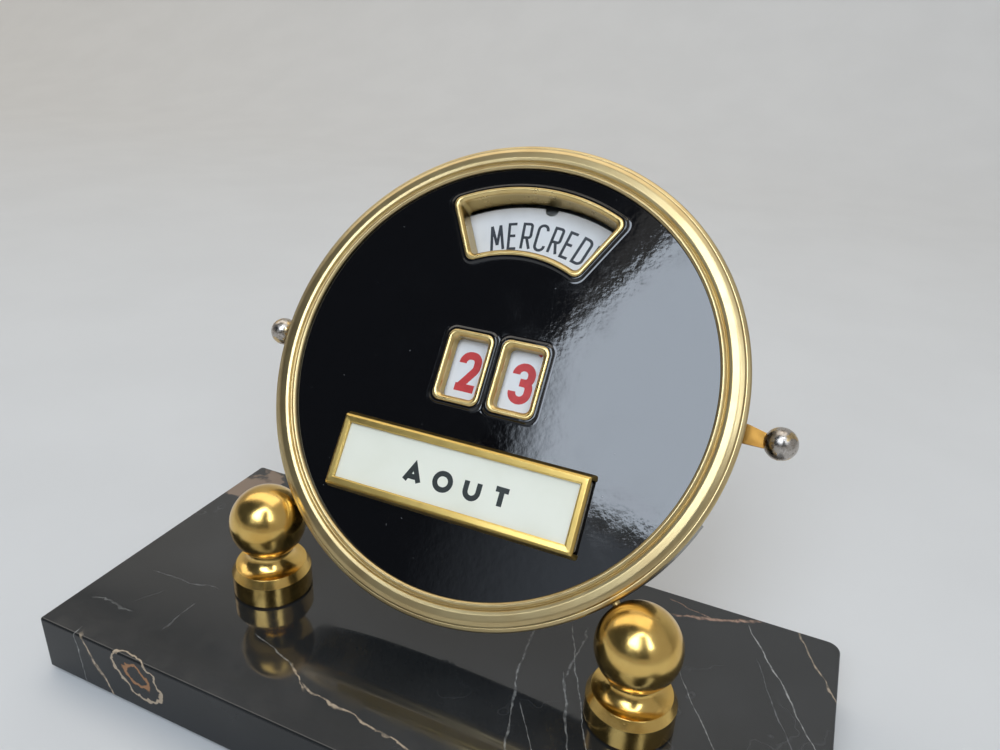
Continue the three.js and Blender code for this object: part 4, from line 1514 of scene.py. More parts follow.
@dataclass
class Base:
    """The marble slab with its eased edges, and the felt under it."""

    corners: tuple[float, ...] = (2.6, 0.9, 0.6, 2.0)
    least_corner: float = 0.2
    edge: float = 0.45
    edge_steps: int = 4
    felt_ease: float = 0.15

    def slab(self, shop: Workshop) -> None:
        """Makes the slab.

        Args:
            shop: makes the piece.
        """
        low, high = (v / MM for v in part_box("marble_base"))
        size, centre = high - low, (high + low) / 2
        draft = Draft()
        rows = []
        eased = [(self.edge * (1 - math.cos(t)), self.edge * (1 - math.sin(t))) for t in self.turns()]
        levels = [(inset, high.z - drop) for inset, drop in reversed(eased)]
        levels += [(inset, low.z + rise) for inset, rise in eased]
        for inset, level in levels:
            corners = [max(corner - inset, self.least_corner) for corner in self.corners]
            width, depth = size.x - 2 * inset, size.y - 2 * inset
            rows.append(draft.level(rounded_rectangle(width, depth, corners, (centre.x, centre.y)), level))
        draft.stack(rows)
        draft.cap(rows[0])
        draft.cap(rows[-1])
        shop.piece("slab", draft.mesh("slab"), BLACK_MARBLE, "marble_base", on_dial=False)

    def turns(self) -> list[float]:
        """Angles through the eased edge."""
        return [math.pi / 2 * i / self.edge_steps for i in range(self.edge_steps + 1)]

    def build(self, shop: Workshop) -> None:
        """Makes the whole base."""
        self.slab(shop)
        shop.dress("felt_pad", GREEN_FELT, self.felt_ease)


@dataclass
class Support:
    """A turned pedestal and the ball that stands on it."""

    side: Side
    collar: float = 8.3
    foot_step: float = 0.42
    foot_inset: float = 0.5
    collar_height: float = 4.9
    chamfer: float = 0.95
    chamfer_rise: float = 1.7
    neck: float = 3.9
    bore: float = 1.6
    cup_play: float = 0.05
    shelf: float = 0.2
    soft: float = 0.12
    foot_soft: float = 0.1
    cove_steps: int = 14
    steps: int = 96

    def cove_point(self, outer: float, low: float, high: float, step: int) -> Flat:
        """A point on the hollow sweep from the collar's top up to the neck.

        Args:
            outer: the sweep's outer radius.
            low: the height where it starts.
            high: the height of the neck's top.
            step: the point's number, from the outside in.

        Returns:
            The point's radius and height.
        """
        turn = math.pi / 2 * step / self.cove_steps
        return outer - (outer - self.neck) * math.sin(turn), low + (high - low) * (1 - math.cos(turn))

    def pedestal(self, shop: Workshop) -> None:
        """Makes the pedestal.

        Args:
            shop: makes the piece.
        """
        node = f"{self.side.word}_pedestal"
        low, high = (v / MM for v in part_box(node))
        ball_low, ball_high = (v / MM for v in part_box(f"{self.side.word}_ball"))
        middle = (ball_low + ball_high) / 2
        radius = (ball_high.x - ball_low.x) / 2
        cup = radius + self.cup_play
        height = ball_high.z - radius - low.z
        cup_foot = height - math.sqrt(cup * cup - self.neck * self.neck)
        top = self.collar_height + self.chamfer_rise
        rim = self.collar - self.chamfer
        foot = self.collar - self.foot_inset
        cove = [self.cove_point(rim - self.shelf, top, cup_foot, i) for i in range(self.cove_steps + 1)]
        profile = filleted([
            (self.bore, 0.0, 0),
            (foot, 0.0, 0),
            (foot, self.foot_step, self.foot_soft / 2),
            (self.collar, self.foot_step, self.foot_soft),
            (self.collar, self.collar_height, self.soft),
            (rim, top, self.soft),
            *((r, z, 0.0) for r, z in cove),
            (self.bore, height - math.sqrt(cup * cup - self.bore * self.bore), 0),
        ], steps=7)
        draft = Draft()
        draft.turn(profile, self.steps, closed=True)
        mesh = draft.mesh(node)
        mesh.transform(Matrix.Translation(Vector((middle.x, middle.y, low.z)) * MM))
        shop.piece(f"{self.side.word}_turned_pedestal", mesh, POLISHED_BRASS, node, on_dial=False)

    def ball(self, shop: Workshop) -> None:
        """Makes the ball.

        Args:
            shop: makes the piece.
        """
        node = f"{self.side.word}_ball"
        low, high = (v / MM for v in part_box(node))
        radius = (high.x - low.x) / 2
        middle = Vector(((low.x + high.x) / 2, (low.y + high.y) / 2, high.z - radius))
        mesh = sphere(node, radius, middle)
        shop.piece(f"{self.side.word}_support_ball", mesh, POLISHED_BRASS, node, on_dial=False)

    def build(self, shop: Workshop) -> None:
        """Makes the support.

        Args:
            shop: makes the pieces.
        """
        self.pedestal(shop)
        self.ball(shop)
        shop.dress(f"{self.side.word}_base_screw", SCREW_STEEL)
        shop.dress(f"{self.side.word}_case_screw", MOVEMENT_BRASS)


@dataclass
class Bezel:
    """The spun brass ring: an inner bead, a groove, a broad convex band and a lip.

    The bead's corners are a way outwards, a height and a rounding; the band's are a
    way outwards, a drop below the ring's crest and a rounding.
    """

    width: float = 5.42
    bead: tuple[Corner, ...] = (
        (0.0, 0.1, 0), (0.0, 0.5, 0.3), (0.5, 0.98, 0.55), (1.05, 0.62, 0.25),
        (1.2, 0.4, 0.06), (1.38, 0.5, 0.06), (1.6, 0.98, 0.2),
    )
    band: tuple[Corner, ...] = (
        (2.2, 0.0, 0.7), (3.5, 0.08, 1.5), (4.35, 0.42, 0.5), (4.55, 0.78, 0.05), (4.7, 0.76, 0.05),
    )
    lip_back: float = -0.85
    skirt_back: float = -4.15
    skirt_outer: float = 48.75
    skirt_inner: float = 48.15
    steps: int = 256

    def build(self, shop: Workshop) -> None:
        """Makes the ring from its section.

        Args:
            shop: makes the piece.
        """
        low, high = shop.extent("bezel")
        rim, crest = (high.x - low.x) / 2, high.z
        start = rim - self.width
        front = [(start + out, level, bend) for out, level, bend in self.bead]
        front += [(start + out, crest - drop, bend) for out, drop, bend in self.band]
        profile = filleted([
            *front,
            (rim - 0.2, 0.12, 0.25),
            (rim, -0.25, 0.15),
            (rim, self.lip_back, 0.1),
            (self.skirt_outer, self.lip_back, 0.1),
            (self.skirt_outer, self.skirt_back, 0),
            (self.skirt_inner, self.skirt_back, 0),
            (self.skirt_inner, -0.55, 0.3),
            (start + 2.3, 0.1, 0.3),
        ], closed=True, steps=4)
        draft = Draft()
        draft.turn(profile, self.steps, closed=True)
        shop.piece("bezel_ring", draft.mesh("bezel"), BEZEL_BRASS, "bezel", crease=55.0)


@dataclass
class RearCase:
    """The shallow sheet drum behind the dial, notched on both sides for the levers."""

    sheet: float = 0.5
    back_sheet: float = 0.7
    corner: float = 1.2
    step_radius: float = 34.0
    step_run: float = 1.2
    step_depth: float = 0.25
    step_soft: float = 0.8
    inner_soft: float = 0.5
    mouth_taper: float = 0.08
    slot_top: float = 7.0
    slot_bottom: float = -21.5
    skirt_inner: float = 48.15
    pillar_reach: float = 41.8
    pillar_angles: tuple[float, ...] = (50.0, 130.0, 270.0)
    slot_reach: float = 4.0
    slot_turns: tuple[float, ...] = (2.0, -3.0, -8.0, -13.0, -18.0)
    screw_hole: float = 0.95
    screw_shank: float = 0.8
    screw_dome: float = 0.45
    screw_seat: float = 0.05
    slot_half: float = 0.26
    slot_depth: float = 0.42
    slot_turn: float = 17.0
    over: float = 1.0
    steps: int = 224
    hole_steps: int = 24
    screw_steps: int = 48

    def shell(self, shop: Workshop) -> bpy.types.Mesh:
        """Turns the drum, with the step that was spun into its back.

        Args:
            shop: measures the case.

        Returns:
            The drum, still without its notches and holes.
        """
        low, high = shop.extent("rear_case")
        rim, front, back = (high.x - low.x) / 2, high.z, low.z
        inner, floor = rim - self.sheet, back + self.back_sheet
        step_end = self.step_radius + self.step_run
        profile = filleted([
            (0.0, back + self.step_depth, 0),
            (self.step_radius, back + self.step_depth, self.step_soft),
            (step_end, back, self.step_soft),
            (rim, back, self.corner),
            (rim, front - 0.5, 0.1),
            (rim - self.mouth_taper, front, self.mouth_taper),
            (inner, front, 0.05),
            (inner, floor, 0.7),
            (step_end + 0.4, floor, self.inner_soft),
            (self.step_radius + 0.2, floor + self.step_depth, self.inner_soft),
            (0.0, floor + self.step_depth, 0),
        ], steps=5)
        draft = Draft()
        draft.turn(profile, self.steps)
        return draft.mesh("rear_case")

    def notch(self, side: Side, depth: float) -> bpy.types.Mesh:
        """Makes the tool that cuts one lever's notch through the wall.

        Args:
            side: the lever's side.
            depth: how deep the case is.

        Returns:
            The tool.
        """
        near, far = self.skirt_inner, self.skirt_inner + self.slot_reach
        outline = [
            polar(near, self.slot_bottom),
            polar(far, self.slot_bottom),
            polar(far, self.slot_top),
            polar(near, self.slot_top),
            *(polar(near, turn) for turn in self.slot_turns),
        ]
        sided = [(side.value * x, y) for x, y in outline]
        return prism(sided, -depth - self.over, self.over).mesh("notch")

    def build(self, shop: Workshop) -> None:
        """Makes the case and its back screws.

        Args:
            shop: makes the pieces.
        """
        depth = -shop.extent("rear_case")[0].z
        tools = [self.notch(side, depth) for side in Side]
        for angle in self.pillar_angles:
            outline = circle(self.screw_hole, self.hole_steps, polar(self.pillar_reach, angle))
            tools.append(prism(outline, -depth - self.over, 0.0).mesh("hole"))
        mesh = cut_away(self.shell(shop), tools)
        shop.piece("case_drum", mesh, CASE_SHEET, "rear_case")
        for number, angle in enumerate(self.pillar_angles, 1):
            self.back_screw(shop, f"back_screw_{number}", angle)

    def back_screw(self, shop: Workshop, node: str, angle: float) -> None:
        """Makes a screw with a domed, slotted head.

        Args:
            shop: makes the piece.
            node: the CAD node that it stands for.
            angle: where it stands, and how its slot is turned.
        """
        low, high = shop.extent(node)
        head = (high.x - low.x) / 2
        seat = shop.extent("rear_case")[0].z - self.screw_seat
        profile = filleted([
            (0.0, low.z, 0),
            (head * 0.75, low.z + 0.06, 0.9),
            (head, low.z + self.screw_dome, 0.25),
            (head, seat, 0.05),
            (self.screw_shank, seat, 0),
            (self.screw_shank, high.z, 0.15),
            (0.0, high.z, 0),
        ])
        draft = Draft()
        draft.turn(profile, self.screw_steps)
        slot = block(
            (-head - self.over, -self.slot_half, low.z - self.over),
            (head + self.over, self.slot_half, low.z + self.slot_depth),
        )
        mesh = cut_away(draft.mesh(node), [slot.mesh("slot")])
        x, y = polar(self.pillar_reach, angle)
        turn = Matrix.Rotation(math.radians(angle + self.slot_turn), 4, "Z")
        mesh.transform(Matrix.Translation((x * MM, y * MM, 0)) @ turn)
        shop.piece(f"{node}_slotted", mesh, SCREW_STEEL, node)


@dataclass(frozen=True)
class Window:
    """A window in the face: its outline, and how deep its brass wall goes."""

    node: str
    outline: Outline
    depth: float
    lip: float = 1.3
    lip_top: float = 0.66
    wall: float = 0.4

    def section(self) -> list[Flat]:
        """Draws the brass frame's section: a rounded lip and a wall that tapers inwards.

        Returns:
            Its points, each an inset and a height.
        """
        lip, top = self.lip, self.lip_top
        return filleted([
            (0.0, 0.12, 0),
            (0.0, top, 0.45),
            (lip * 0.55, top, 0.5),
            (lip - 0.02, top * 0.1, 0.5),
            (lip + 0.05, -self.depth, 0.1),
            (lip - self.wall, -self.depth, 0),
            (lip - self.wall, -0.3, 0),
        ], closed=True, steps=4)

    def build(self, shop: Workshop) -> None:
        """Makes the brass frame.

        Args:
            shop: makes the piece.
        """
        draft = Draft()
        draft.rim(self.outline, self.section())
        shop.piece(f"{self.node}_brass", draft.mesh(self.node), WINDOW_BRASS, self.node)


@dataclass
class FacePlate:
    """The lacquered plate, embossed round each window, and the windows' frames."""

    digit_size: Flat = (10.2, 15.0)
    digit_spacing: float = 11.9
    digit_middle: float = -0.25
    corner: float = 1.8
    fan: Fan = Fan(24.65, 39.7, 29.0, 1.8)
    digit_depth: float = 2.3
    fan_depth: float = 5.1
    emboss: float = 1.15
    emboss_height: float = 0.42
    radius: float = 45.9
    thickness: float = 0.8
    tab_reach: float = 19.0
    tab_size: Flat = (3.3, 1.0)
    tab_inset: float = 0.55
    tab_corner: float = 0.2
    cut_ease: float = 0.02
    steps: int = 192

    def digit_outline(self, side: Side) -> Outline:
        """Finds the outline of one digit's window.

        Args:
            side: the window's side.

        Returns:
            A function that gives the outline for an inset.
        """
        width, height = self.digit_size
        centre = (side.value * self.digit_spacing / 2, self.digit_middle)

        def outline(inset: float) -> list[Flat]:
            """The window's outline moved inwards."""
            corner = self.corner - inset / 2
            return rounded_rectangle(width - 2 * inset, height - 2 * inset, corner, centre)

        return outline

    def windows(self) -> list[Window]:
        """Lists the windows.

        Returns:
            The fan window and the two digit windows.
        """
        return [
            Window("weekday_window_frame", self.fan.outline, self.fan_depth),
            Window("tens_window_frame", self.digit_outline(Side.LEFT), self.digit_depth),
            Window("units_window_frame", self.digit_outline(Side.RIGHT), self.digit_depth),
        ]

    def swelling(self) -> list[Flat]:
        """Draws the embossed rim's section, from the flat plate up to the window's edge.

        Returns:
            Its points, each an inset and a height.
        """
        out, top = -self.emboss, self.emboss_height
        return filleted([
            (out, 0.0, 0),
            (out + 0.35, 0.02, 0.3),
            (out + 0.75, top, 0.3),
            (0.12, top, 0.2),
            (0.3, 0.1, 0),
            (0.3, -self.thickness, 0),
            (out, -self.thickness, 0),
        ], closed=True, steps=4)

    def build(self, shop: Workshop) -> None:
        """Makes the plate and the windows' frames.

        Args:
            shop: makes the pieces.
        """
        windows = self.windows()
        holes = [window.outline(-self.emboss) for window in windows]
        low, high = shop.extent("month_frame")
        middle = (low + high) / 2
        for x in (-self.tab_reach, self.tab_reach):
            for y in (low.y + self.tab_inset, high.y - self.tab_inset):
                holes.append(rounded_rectangle(*self.tab_size, self.tab_corner, (middle.x + x, y), 3))
        outer = circle(self.radius, self.steps)
        flat = sheet("face", outer, holes, 0.0, -self.thickness, self.cut_ease)
        rims = Draft()
        for window in windows:
            rims.rim(window.outline, self.swelling())
        mesh = joined("face_plate", [flat, rims.mesh("rims")])
        shop.piece("lacquered_face", mesh, BLACK_LACQUER, "face_plate", crease=50.0)
        for window in windows:
            window.build(shop)


@dataclass
class MonthFrame:
    """The brass frame of the month cards: a broad rounded band and sloping walls."""

    bar: float = 2.35
    slope: float = 0.85
    wall: float = 1.1
    roof: float = 0.65
    corner: float = 0.55
    least_corner: float = 0.06
    corner_share: float = 0.22
    corner_steps: int = 4
    seat: float = 0.05
    pocket_half: float = 2.0

    def build(self, shop: Workshop) -> None:
        """Makes the frame with its open right-hand end.

        Args:
            shop: makes the piece.
        """
        low, high = shop.extent("month_frame")
        size, middle = high - low, (high + low) / 2
        top = high.z

        def outline(inset: float) -> list[Flat]:
            """Moves the frame's outline inwards from its foot.

            Args:
                inset: how far inwards.

            Returns:
                The outline's points.
            """
            corner = max(self.corner - inset * self.corner_share, self.least_corner)
            width, height = size.x - 2 * inset, size.y - 2 * inset
            return rounded_rectangle(width, height, corner, (middle.x, middle.y), self.corner_steps)

        section = filleted([
            (0.0, self.seat, 0),
            (self.slope * 0.75, top - 0.42, 0.35),
            (self.slope + 0.25, top, 0.3),
            (self.bar - 0.28, top - 0.06, 0.12),
            (self.bar - 0.12, top - 0.16, 0.05),
            (self.bar, top - 0.16, 0.05),
            (self.bar, top - self.roof, 0),
            (self.wall, top - self.roof, 0),
            (self.wall, self.seat, 0),
        ], closed=True, steps=4)
        draft = Draft()
        draft.rim(outline, section)
        pocket = block(
            (high.x - self.pocket_half, low.y + self.wall, -1.0),
            (high.x + self.pocket_half, high.y - self.wall, top - self.roof),
        )
        mesh = cut_away(draft.mesh("month_frame"), [pocket.mesh("pocket")])
        shop.piece("month_frame_brass", mesh, FRAME_BRASS, "month_frame", crease=38.0)


@dataclass
class MonthCards:
    """Six printed cards, each with a month on either side."""

    fronts: tuple[str, ...] = ("AOUT", "SEPTEMBRE", "OCTOBRE", "NOVEMBRE", "DECEMBRE", "JANVIER")
    backs: tuple[str, ...] = ("FEVRIER", "MARS", "AVRIL", "MAI", "JUIN", "JUILLET")
    corner: float = 0.5
    edge: float = 0.03
    word_place: Flat = (0.1, -23.25)
    hand: Hand = Hand(4.2, 4.2, 1.06, 2.25)
    small: Hand = Hand(4.1, 3.5, 0.8, 1.0)
    longest_large: int = 5
    corner_steps: int = 4

    def build(self, shop: Workshop) -> None:
        """Makes the cards and their printing.

        Args:
            shop: makes the pieces.
        """
        for number, (front, back) in enumerate(zip(self.fronts, self.backs), 1):
            node = f"month_card_{number}"
            low, high = shop.extent(node)
            size, middle = high - low, (high + low) / 2
            centre = (middle.x, middle.y)
            outline = rounded_rectangle(size.x, size.y, self.corner, centre, self.corner_steps)
            mesh = sheet(node, outline, [], high.z, low.z, self.edge)
            shop.piece(f"{node}_stock", mesh, IVORY_CARD, node)
            over = Matrix.Translation((0, 2 * middle.y, low.z + high.z)) @ Matrix.Rotation(math.pi, 4, "X")
            for word, side, flip in ((front, "front", Matrix.Identity(4)), (back, "back", over)):
                draft = Draft()
                hand = self.hand if len(word) <= self.longest_large else self.small
                hand.word(draft, word, self.word_place, high.z, flip)
                shop.piece(f"{node}_{side}_print", draft.mesh("print"), SLATE_INK, node, replaces=False)


@dataclass
class NumberDisc:
    """A painted disc of red numbers that turns behind one digit window."""

    name: str
    side: Side
    labels: tuple[str, ...]
    turn_sign: int
    first_angle: float
    reach: float = 18.05
    hand: Hand = Hand(8.45, 4.95, 1.62, 0.0)
    drop: float = 0.5
    bore: float = 1.6
    bore_steps: int = 32
    edge_steps: int = 144
    ease: float = 0.06

    def build(self, shop: Workshop) -> None:
        """Makes the disc and its numbers.

        Args:
            shop: makes the pieces.
        """
        node = f"{self.name}_disc"
        low, high = shop.extent(node)
        centre = Vector(((low.x + high.x) / 2, (low.y + high.y) / 2))
        radius = (high.y - low.y) / 2
        holes = [circle(self.bore, self.bore_steps, tuple(centre))]
        outer = circle(radius, self.edge_steps, tuple(centre))
        mesh = sheet(node, outer, holes, high.z, low.z, self.ease)
        shop.piece(f"{node}_painted", mesh, DISC_PAINT, node)
        draft = Draft()
        rest = 180.0 if self.side is Side.RIGHT else 0.0
        for step, label in enumerate(self.labels):
            if not label:
                continue
            angle = self.first_angle + self.turn_sign * step * 360 / len(self.labels)
            x, y = polar(self.reach, angle)
            foot = (-self.hand.advance(label) / 2, -self.hand.height / 2 - self.drop, 0)
            put = (
                Matrix.Translation((centre.x + x, centre.y + y, 0))
                @ Matrix.Rotation(math.radians(angle - rest), 4, "Z")
                @ Matrix.Translation(foot)
            )
            self.hand.letter(draft, label, put, high.z)
        shop.piece(f"{node}_numbers", draft.mesh("numbers"), RED_INK, node, replaces=False)
        shop.dress(f"{self.name}_ratchet", MOVEMENT_BRASS)


@dataclass
class WeekdayDisc:
    """The large painted disc of weekdays, with a half-round notch over each."""

    days: tuple[str, ...] = ("MERCREDI", "JEUDI", "VENDREDI", "SAMEDI", "DIMANCHE", "LUNDI", "MARDI")
    tilt: float = -1.5
    notch: float = 1.5
    letters_foot: float = 28.1
    word_shift: float = 0.1
    hand: Hand = Hand(6.2, 2.85, 0.62, 0.8)
    bore: float = 1.6
    bore_steps: int = 32
    ease: float = 0.05
    notch_half_turn: float = 88.0
    notch_steps: int = 12
    edge_steps: int = 20

    def outline(self, radius: float) -> list[Flat]:
        """The disc's edge with its notches.

        Args:
            radius: the disc's radius.

        Returns:
            The edge's points.
        """
        half = math.degrees(2 * math.asin(self.notch / 2 / radius))
        pitch = 360 / len(self.days)
        points: list[Flat] = []
        for day in range(len(self.days)):
            middle = 90 + self.tilt + day * pitch
            centre = polar(radius, middle)
            first, last = middle - 180 + self.notch_half_turn, middle - 180 - self.notch_half_turn
            points += arc(centre, self.notch, first, last, self.notch_steps)
            points += arc((0, 0), radius, middle + half, middle + pitch - half, self.edge_steps)[1:-1]
        return points

    def build(self, shop: Workshop) -> None:
        """Makes the disc and its words.

        Args:
            shop: makes the pieces.
        """
        low, high = shop.extent("weekday_disc")
        radius = max(high.x, high.y, -low.x, -low.y)
        holes = [circle(self.bore, self.bore_steps)]
        mesh = sheet("weekday_disc", self.outline(radius), holes, high.z, low.z, self.ease)
        shop.piece("weekday_disc_painted", mesh, DISC_PAINT, "weekday_disc")
        draft = Draft()
        pitch = 360 / len(self.days)
        for step, day in enumerate(self.days):
            middle = 90 + self.tilt + self.word_shift - step * pitch
            self.hand.arched(draft, day, self.letters_foot, middle, high.z)
        mesh = draft.mesh("weekday_words")
        shop.piece("weekday_disc_words", mesh, BLUE_BLACK_INK, "weekday_disc", replaces=False)
        shop.dress("weekday_ratchet", MOVEMENT_BRASS)


@dataclass
class Lever:
    """A side lever: a brass tab that carries a small plated ball."""

    side: Side
    slot: float = 1.62
    slot_depth: float = 3.9
    slot_half: float = 0.42
    slot_play: float = 0.12

    def ball(self, shop: Workshop) -> None:
        """Makes the ball, slotted for the tab.

        Args:
            shop: makes the piece.
        """
        node = f"{self.side.word}_lever_ball"
        low, high = shop.extent(node)
        middle, radius = (low + high) / 2, (high.y - low.y) / 2
        lever_low, lever_high = shop.extent(f"{self.side.word}_lever")
        tip = (lever_high.x if self.side is Side.RIGHT else -lever_low.x) + self.slot_play
        mesh = sphere(node, radius, middle)
        ends = sorted((self.side.value * (tip - self.slot_depth), self.side.value * tip))
        slot = block(
            (ends[0], -self.slot, middle.z - self.slot_half),
            (ends[1], self.slot, middle.z + self.slot_half),
        )
        mesh = cut_away(mesh, [slot.mesh("slot")])
        shop.piece(f"{self.side.word}_plated_ball", mesh, NICKEL, node)

    def build(self, shop: Workshop) -> None:
        """Makes the lever's pieces.

        Args:
            shop: makes the pieces.
        """
        self.ball(shop)
        shop.dress(f"{self.side.word}_lever", LEVER_BRASS, 0.1)
        shop.dress(f"{self.side.word}_lever_spring", SPRING_STEEL, 0.04)
        shop.dress(f"{self.side.word}_lever_stud", SCREW_STEEL)


@dataclass
class Movement:
    """The plates, pillars, arbors, pawls and springs behind the dial."""

    plates: tuple[str, ...] = ("bridge_plate", "mechanism_plate")
    turned: tuple[str, ...] = ("centre_arbor", "left_disc_arbor", "right_disc_arbor")
    springs: tuple[str, ...] = (
        "weekday_pawl", "tens_pawl", "units_pawl",
        "weekday_jumper", "tens_jumper", "units_jumper",
    )
    pillars: int = 3

    def build(self, shop: Workshop) -> None:
        """Dresses every piece of the movement.

        Args:
            shop: dresses the pieces.
        """
        for node in self.plates:
            shop.dress(node, PLATE_STEEL)
        for node in self.turned:
            shop.dress(node, SCREW_STEEL, 0.04)
        for number in range(1, self.pillars + 1):
            shop.dress(f"front_pillar_{number}", SCREW_STEEL, 0.04)
            shop.dress(f"spacer_{number}", SCREW_STEEL, 0.04)
        for node in self.springs:
            shop.dress(node, SPRING_STEEL, 0.03)
        shop.dress("weekday_driver", MOVEMENT_BRASS)


# --------------------------------------------------------------------- studio


@dataclass(frozen=True)
class Pane:
    """A four-sided pane of light or shade that hangs round the calendar.

    Each corner is an azimuth, 0 in front and growing to the right, and an elevation.
    A fade gives the places along X between which the light grows from nothing.
    """

    name: str
    corners: tuple[Flat, Flat, Flat, Flat]
    light: float
    fade: Flat | None = None
    distance: float = 1.3


@dataclass
class Studio:
    """The camera, a pale floor that rises into a backdrop, and soft light."""

    eye: Point = (57.55, -111.3, 127.33)
    yaw: float = 23.23
    pitch: float = 24.02
    roll: float = -2.74
    lens: float = 28.135
    sensor: float = 36.0
    nearest: float = 0.005
    aim_height: float = 0.06
    floor_half: float = 4.0
    floor_front: float = -1.5
    wall_place: float = 1.1
    wall_height: float = 1.6
    wall_radius: float = 0.5
    wall_steps: int = 16
    floor_colour: Colour = (0.66, 0.66, 0.655)
    floor_shade: float = 0.97
    floor_roughness: float = 0.7
    panes: tuple[Pane, ...] = (
        Pane("window", ((-29.0, 35.0), (11.0, 32.0), (13.0, 72.0), (-3.0, 70.0)), 7.2, (-0.43, -0.32)),
        Pane("side_window", ((44.0, 32.0), (57.0, 32.0), (57.0, 64.0), (44.0, 66.0)), 7.2),
        Pane("high_window", ((11.0, 64.0), (46.0, 64.0), (46.0, 73.0), (11.0, 74.0)), 7.2),
        Pane(
            "far_wall", ((-27.0, 20.0), (-6.0, 20.0), (-6.0, 33.5), (-27.0, 33.5)), 0.8,
            fade=(-0.53, -0.18), distance=1.15,
        ),
        Pane("side_flag", ((-92.0, 6.0), (-29.0, 6.0), (-11.0, 80.0), (-92.0, 80.0)), 0.06),
        Pane("low_flag", ((-29.0, 8.0), (14.0, 8.0), (12.0, 29.5), (-29.0, 33.0)), 0.06),
        Pane("operator_flag", ((14.0, 10.0), (42.0, 10.0), (31.0, 58.0), (24.0, 58.0)), 0.06),
    )
    ceiling_height: float = 1.5
    ceiling_left: float = -3.0
    ceiling_right: float = 0.5
    ceiling_front: float = 0.0
    ceiling_back: float = 0.9
    ceiling_light: float = 1.75
    room_light: float = 0.38
    daylight: Colour = (0.785, 0.88, 1.0)
    lamplight: Colour = (1.0, 0.945, 0.86)
    room_colour: Colour = (1.0, 0.985, 0.96)

    def camera(self) -> None:
        """Sets the camera up."""
        yaw, pitch, roll = (math.radians(a) for a in (self.yaw, self.pitch, self.roll))
        flat = math.cos(pitch)
        ahead = Vector((-math.sin(yaw) * flat, math.cos(yaw) * flat, -math.sin(pitch)))
        level = Vector((math.cos(yaw), math.sin(yaw), 0.0))
        below = ahead.cross(level)
        right = math.cos(roll) * level + math.sin(roll) * below
        down = -math.sin(roll) * level + math.cos(roll) * below
        data = bpy.data.cameras.new("camera")
        data.sensor_width = self.sensor
        data.lens = self.lens
        data.clip_start = self.nearest
        item = bpy.data.objects.new("camera", data)
        turn = Matrix((right, -down, -ahead)).transposed().to_4x4()
        item.matrix_world = Matrix.Translation(Vector(self.eye) * MM) @ turn
        bpy.context.scene.collection.objects.link(item)
        bpy.context.scene.camera = item

    def toward(self, azimuth: float, elevation: float, distance: float) -> Point:
        """Finds a point in a direction from the calendar.

        Args:
            azimuth: the direction's turn in degrees, 0 in front and growing to the right.
            elevation: its height in degrees.
            distance: how far away the point is, in metres.

        Returns:
            The point.
        """
        turn, rise = math.radians(azimuth), math.radians(elevation)
        flat = math.cos(rise) * distance
        return flat * math.sin(turn), -flat * math.cos(turn), math.sin(rise) * distance + self.aim_height

    def backdrop(self) -> None:
        """Makes the floor and the wall in one sweep."""
        bend = self.wall_radius
        profile = [(self.floor_front, 0.0)]
        profile += arc((self.wall_place - bend, bend), bend, -90, 0, self.wall_steps)
        profile.append((self.wall_place, self.wall_height))
        points = [(x, y, z) for x in (-self.floor_half, self.floor_half) for y, z in profile]
        count = len(profile)
        faces = [(i, i + 1, count + i + 1, count + i) for i in range(count - 1)]
        mesh = bpy.data.meshes.new("backdrop")
        mesh.from_pydata(points, [], faces)
        mesh.shade_smooth()
        surface = Surface("backdrop")
        surface.set(Roughness=self.floor_roughness)
        cloud = surface.ramp(surface.noise(60.0, 4.0), 0.3, 0.7)
        shade = tuple(c * self.floor_shade for c in self.floor_colour)
        surface.feed("Base Color", surface.mix(cloud, self.floor_colour, shade))
        self.stand("backdrop", mesh, surface.material)

    def glow(
        self,
        name: str,
        corners: Sequence[Point],
        colour: Colour,
        strength: float,
        fade: Flat | None = None,
    ) -> None:
        """Makes a shining panel that the camera itself doesn't see.

        Args:
            name: its name.
            corners: its corners, in metres.
            colour: its colour.
            strength: how brightly it shines.
            fade: between which places along X it brightens from nothing.
        """
        mesh = bpy.data.meshes.new(name)
        mesh.from_pydata(corners, [], [(0, 1, 2, 3)])
        surface = Surface(name)
        surface.set(Base_Color=(0.0, 0.0, 0.0), Roughness=1.0, Specular_IOR_Level=0.0)
        surface.set(Emission_Color=colour, Emission_Strength=strength)
        if fade:
            across = surface.node("SeparateXYZ", {0: surface.place}).outputs[0]
            surface.feed("Emission Strength", surface.ramp(across, *fade, 0.0, strength))
        self.stand(name, mesh, surface.material).visible_camera = False

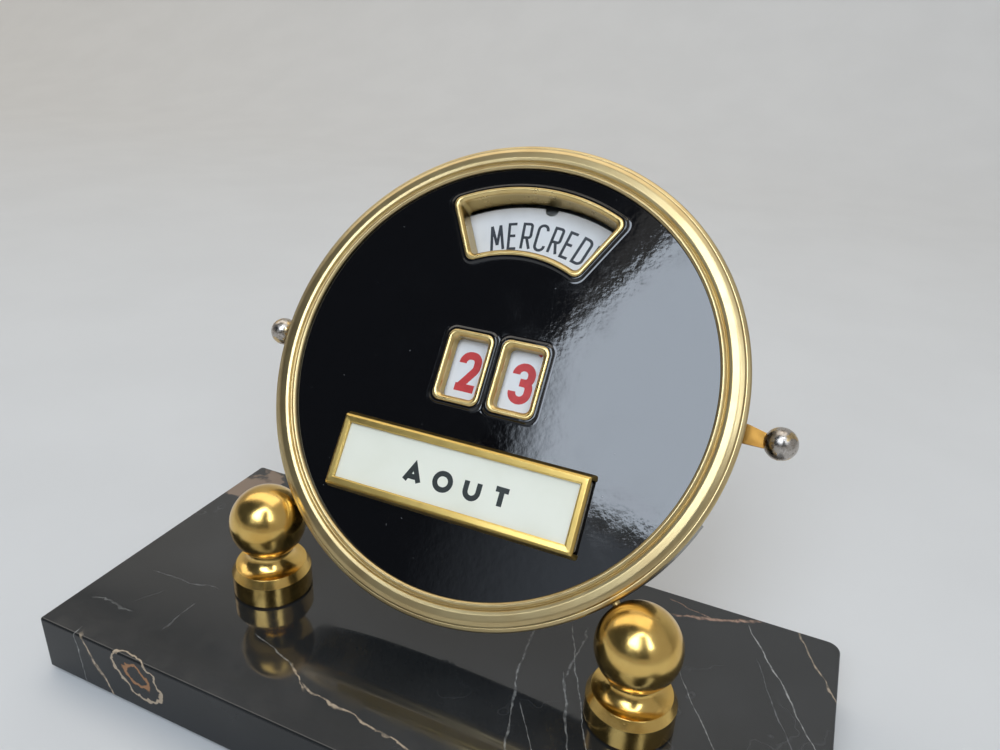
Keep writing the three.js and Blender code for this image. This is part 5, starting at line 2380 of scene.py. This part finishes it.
    def stand(self, name: str, mesh: bpy.types.Mesh, material: bpy.types.Material) -> bpy.types.Object:
        """Puts a piece of the studio in place.

        Args:
            name: its name.
            mesh: its mesh, in metres.
            material: its material.

        Returns:
            The piece.
        """
        item = bpy.data.objects.new(name, mesh)
        mesh.materials.append(material)
        bpy.context.scene.collection.objects.link(item)
        return item

    def lights(self) -> None:
        """Hangs the window light and sets the room's own light."""
        for pane in self.panes:
            corners = [self.toward(a, e, pane.distance) for a, e in pane.corners]
            self.glow(pane.name, corners, self.daylight, pane.light, pane.fade)
        ceiling = [(x, y, self.ceiling_height) for x, y in (
            (self.ceiling_left, self.ceiling_front),
            (self.ceiling_right, self.ceiling_front),
            (self.ceiling_right, self.ceiling_back),
            (self.ceiling_left, self.ceiling_back),
        )]
        self.glow("ceiling", ceiling, self.lamplight, self.ceiling_light)
        world = bpy.data.worlds.new("room")
        world.use_nodes = True
        sky = world.node_tree.nodes["Background"].inputs
        sky["Color"].default_value = (*self.room_colour, 1.0)
        sky["Strength"].default_value = self.room_light
        bpy.context.scene.world = world
        bpy.context.scene.view_settings.view_transform = "Standard"

    def build(self) -> None:
        """Sets the whole studio up."""
        self.camera()
        self.backdrop()
        self.lights()


LEVER_DEPTH = 7.3  # millimetres from the face back to the lever hinges
TENS = ("2", "3", "", "0", "1", "2", "3", "", "0", "1")
UNITS = tuple("3456789012")


def main() -> None:
    """Builds the calendar, one sub-assembly after another."""
    logging.basicConfig(level=logging.INFO, format="%(name)s: %(message)s")
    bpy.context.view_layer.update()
    shop = Workshop(dial_place(LEVER_DEPTH))
    Studio().build()
    parts = (
        Base(),
        Support(Side.LEFT),
        Support(Side.RIGHT),
        RearCase(),
        Bezel(),
        FacePlate(),
        MonthFrame(),
        MonthCards(),
        WeekdayDisc(),
        NumberDisc("tens", Side.LEFT, TENS, -1, 0.0),
        NumberDisc("units", Side.RIGHT, UNITS, 1, 180.0),
        Lever(Side.LEFT),
        Lever(Side.RIGHT),
        Movement(),
    )
    for part in parts:
        part.build(shop)
    log.info("%d pieces made", shop.count)


if __name__ == "__main__":
    main()
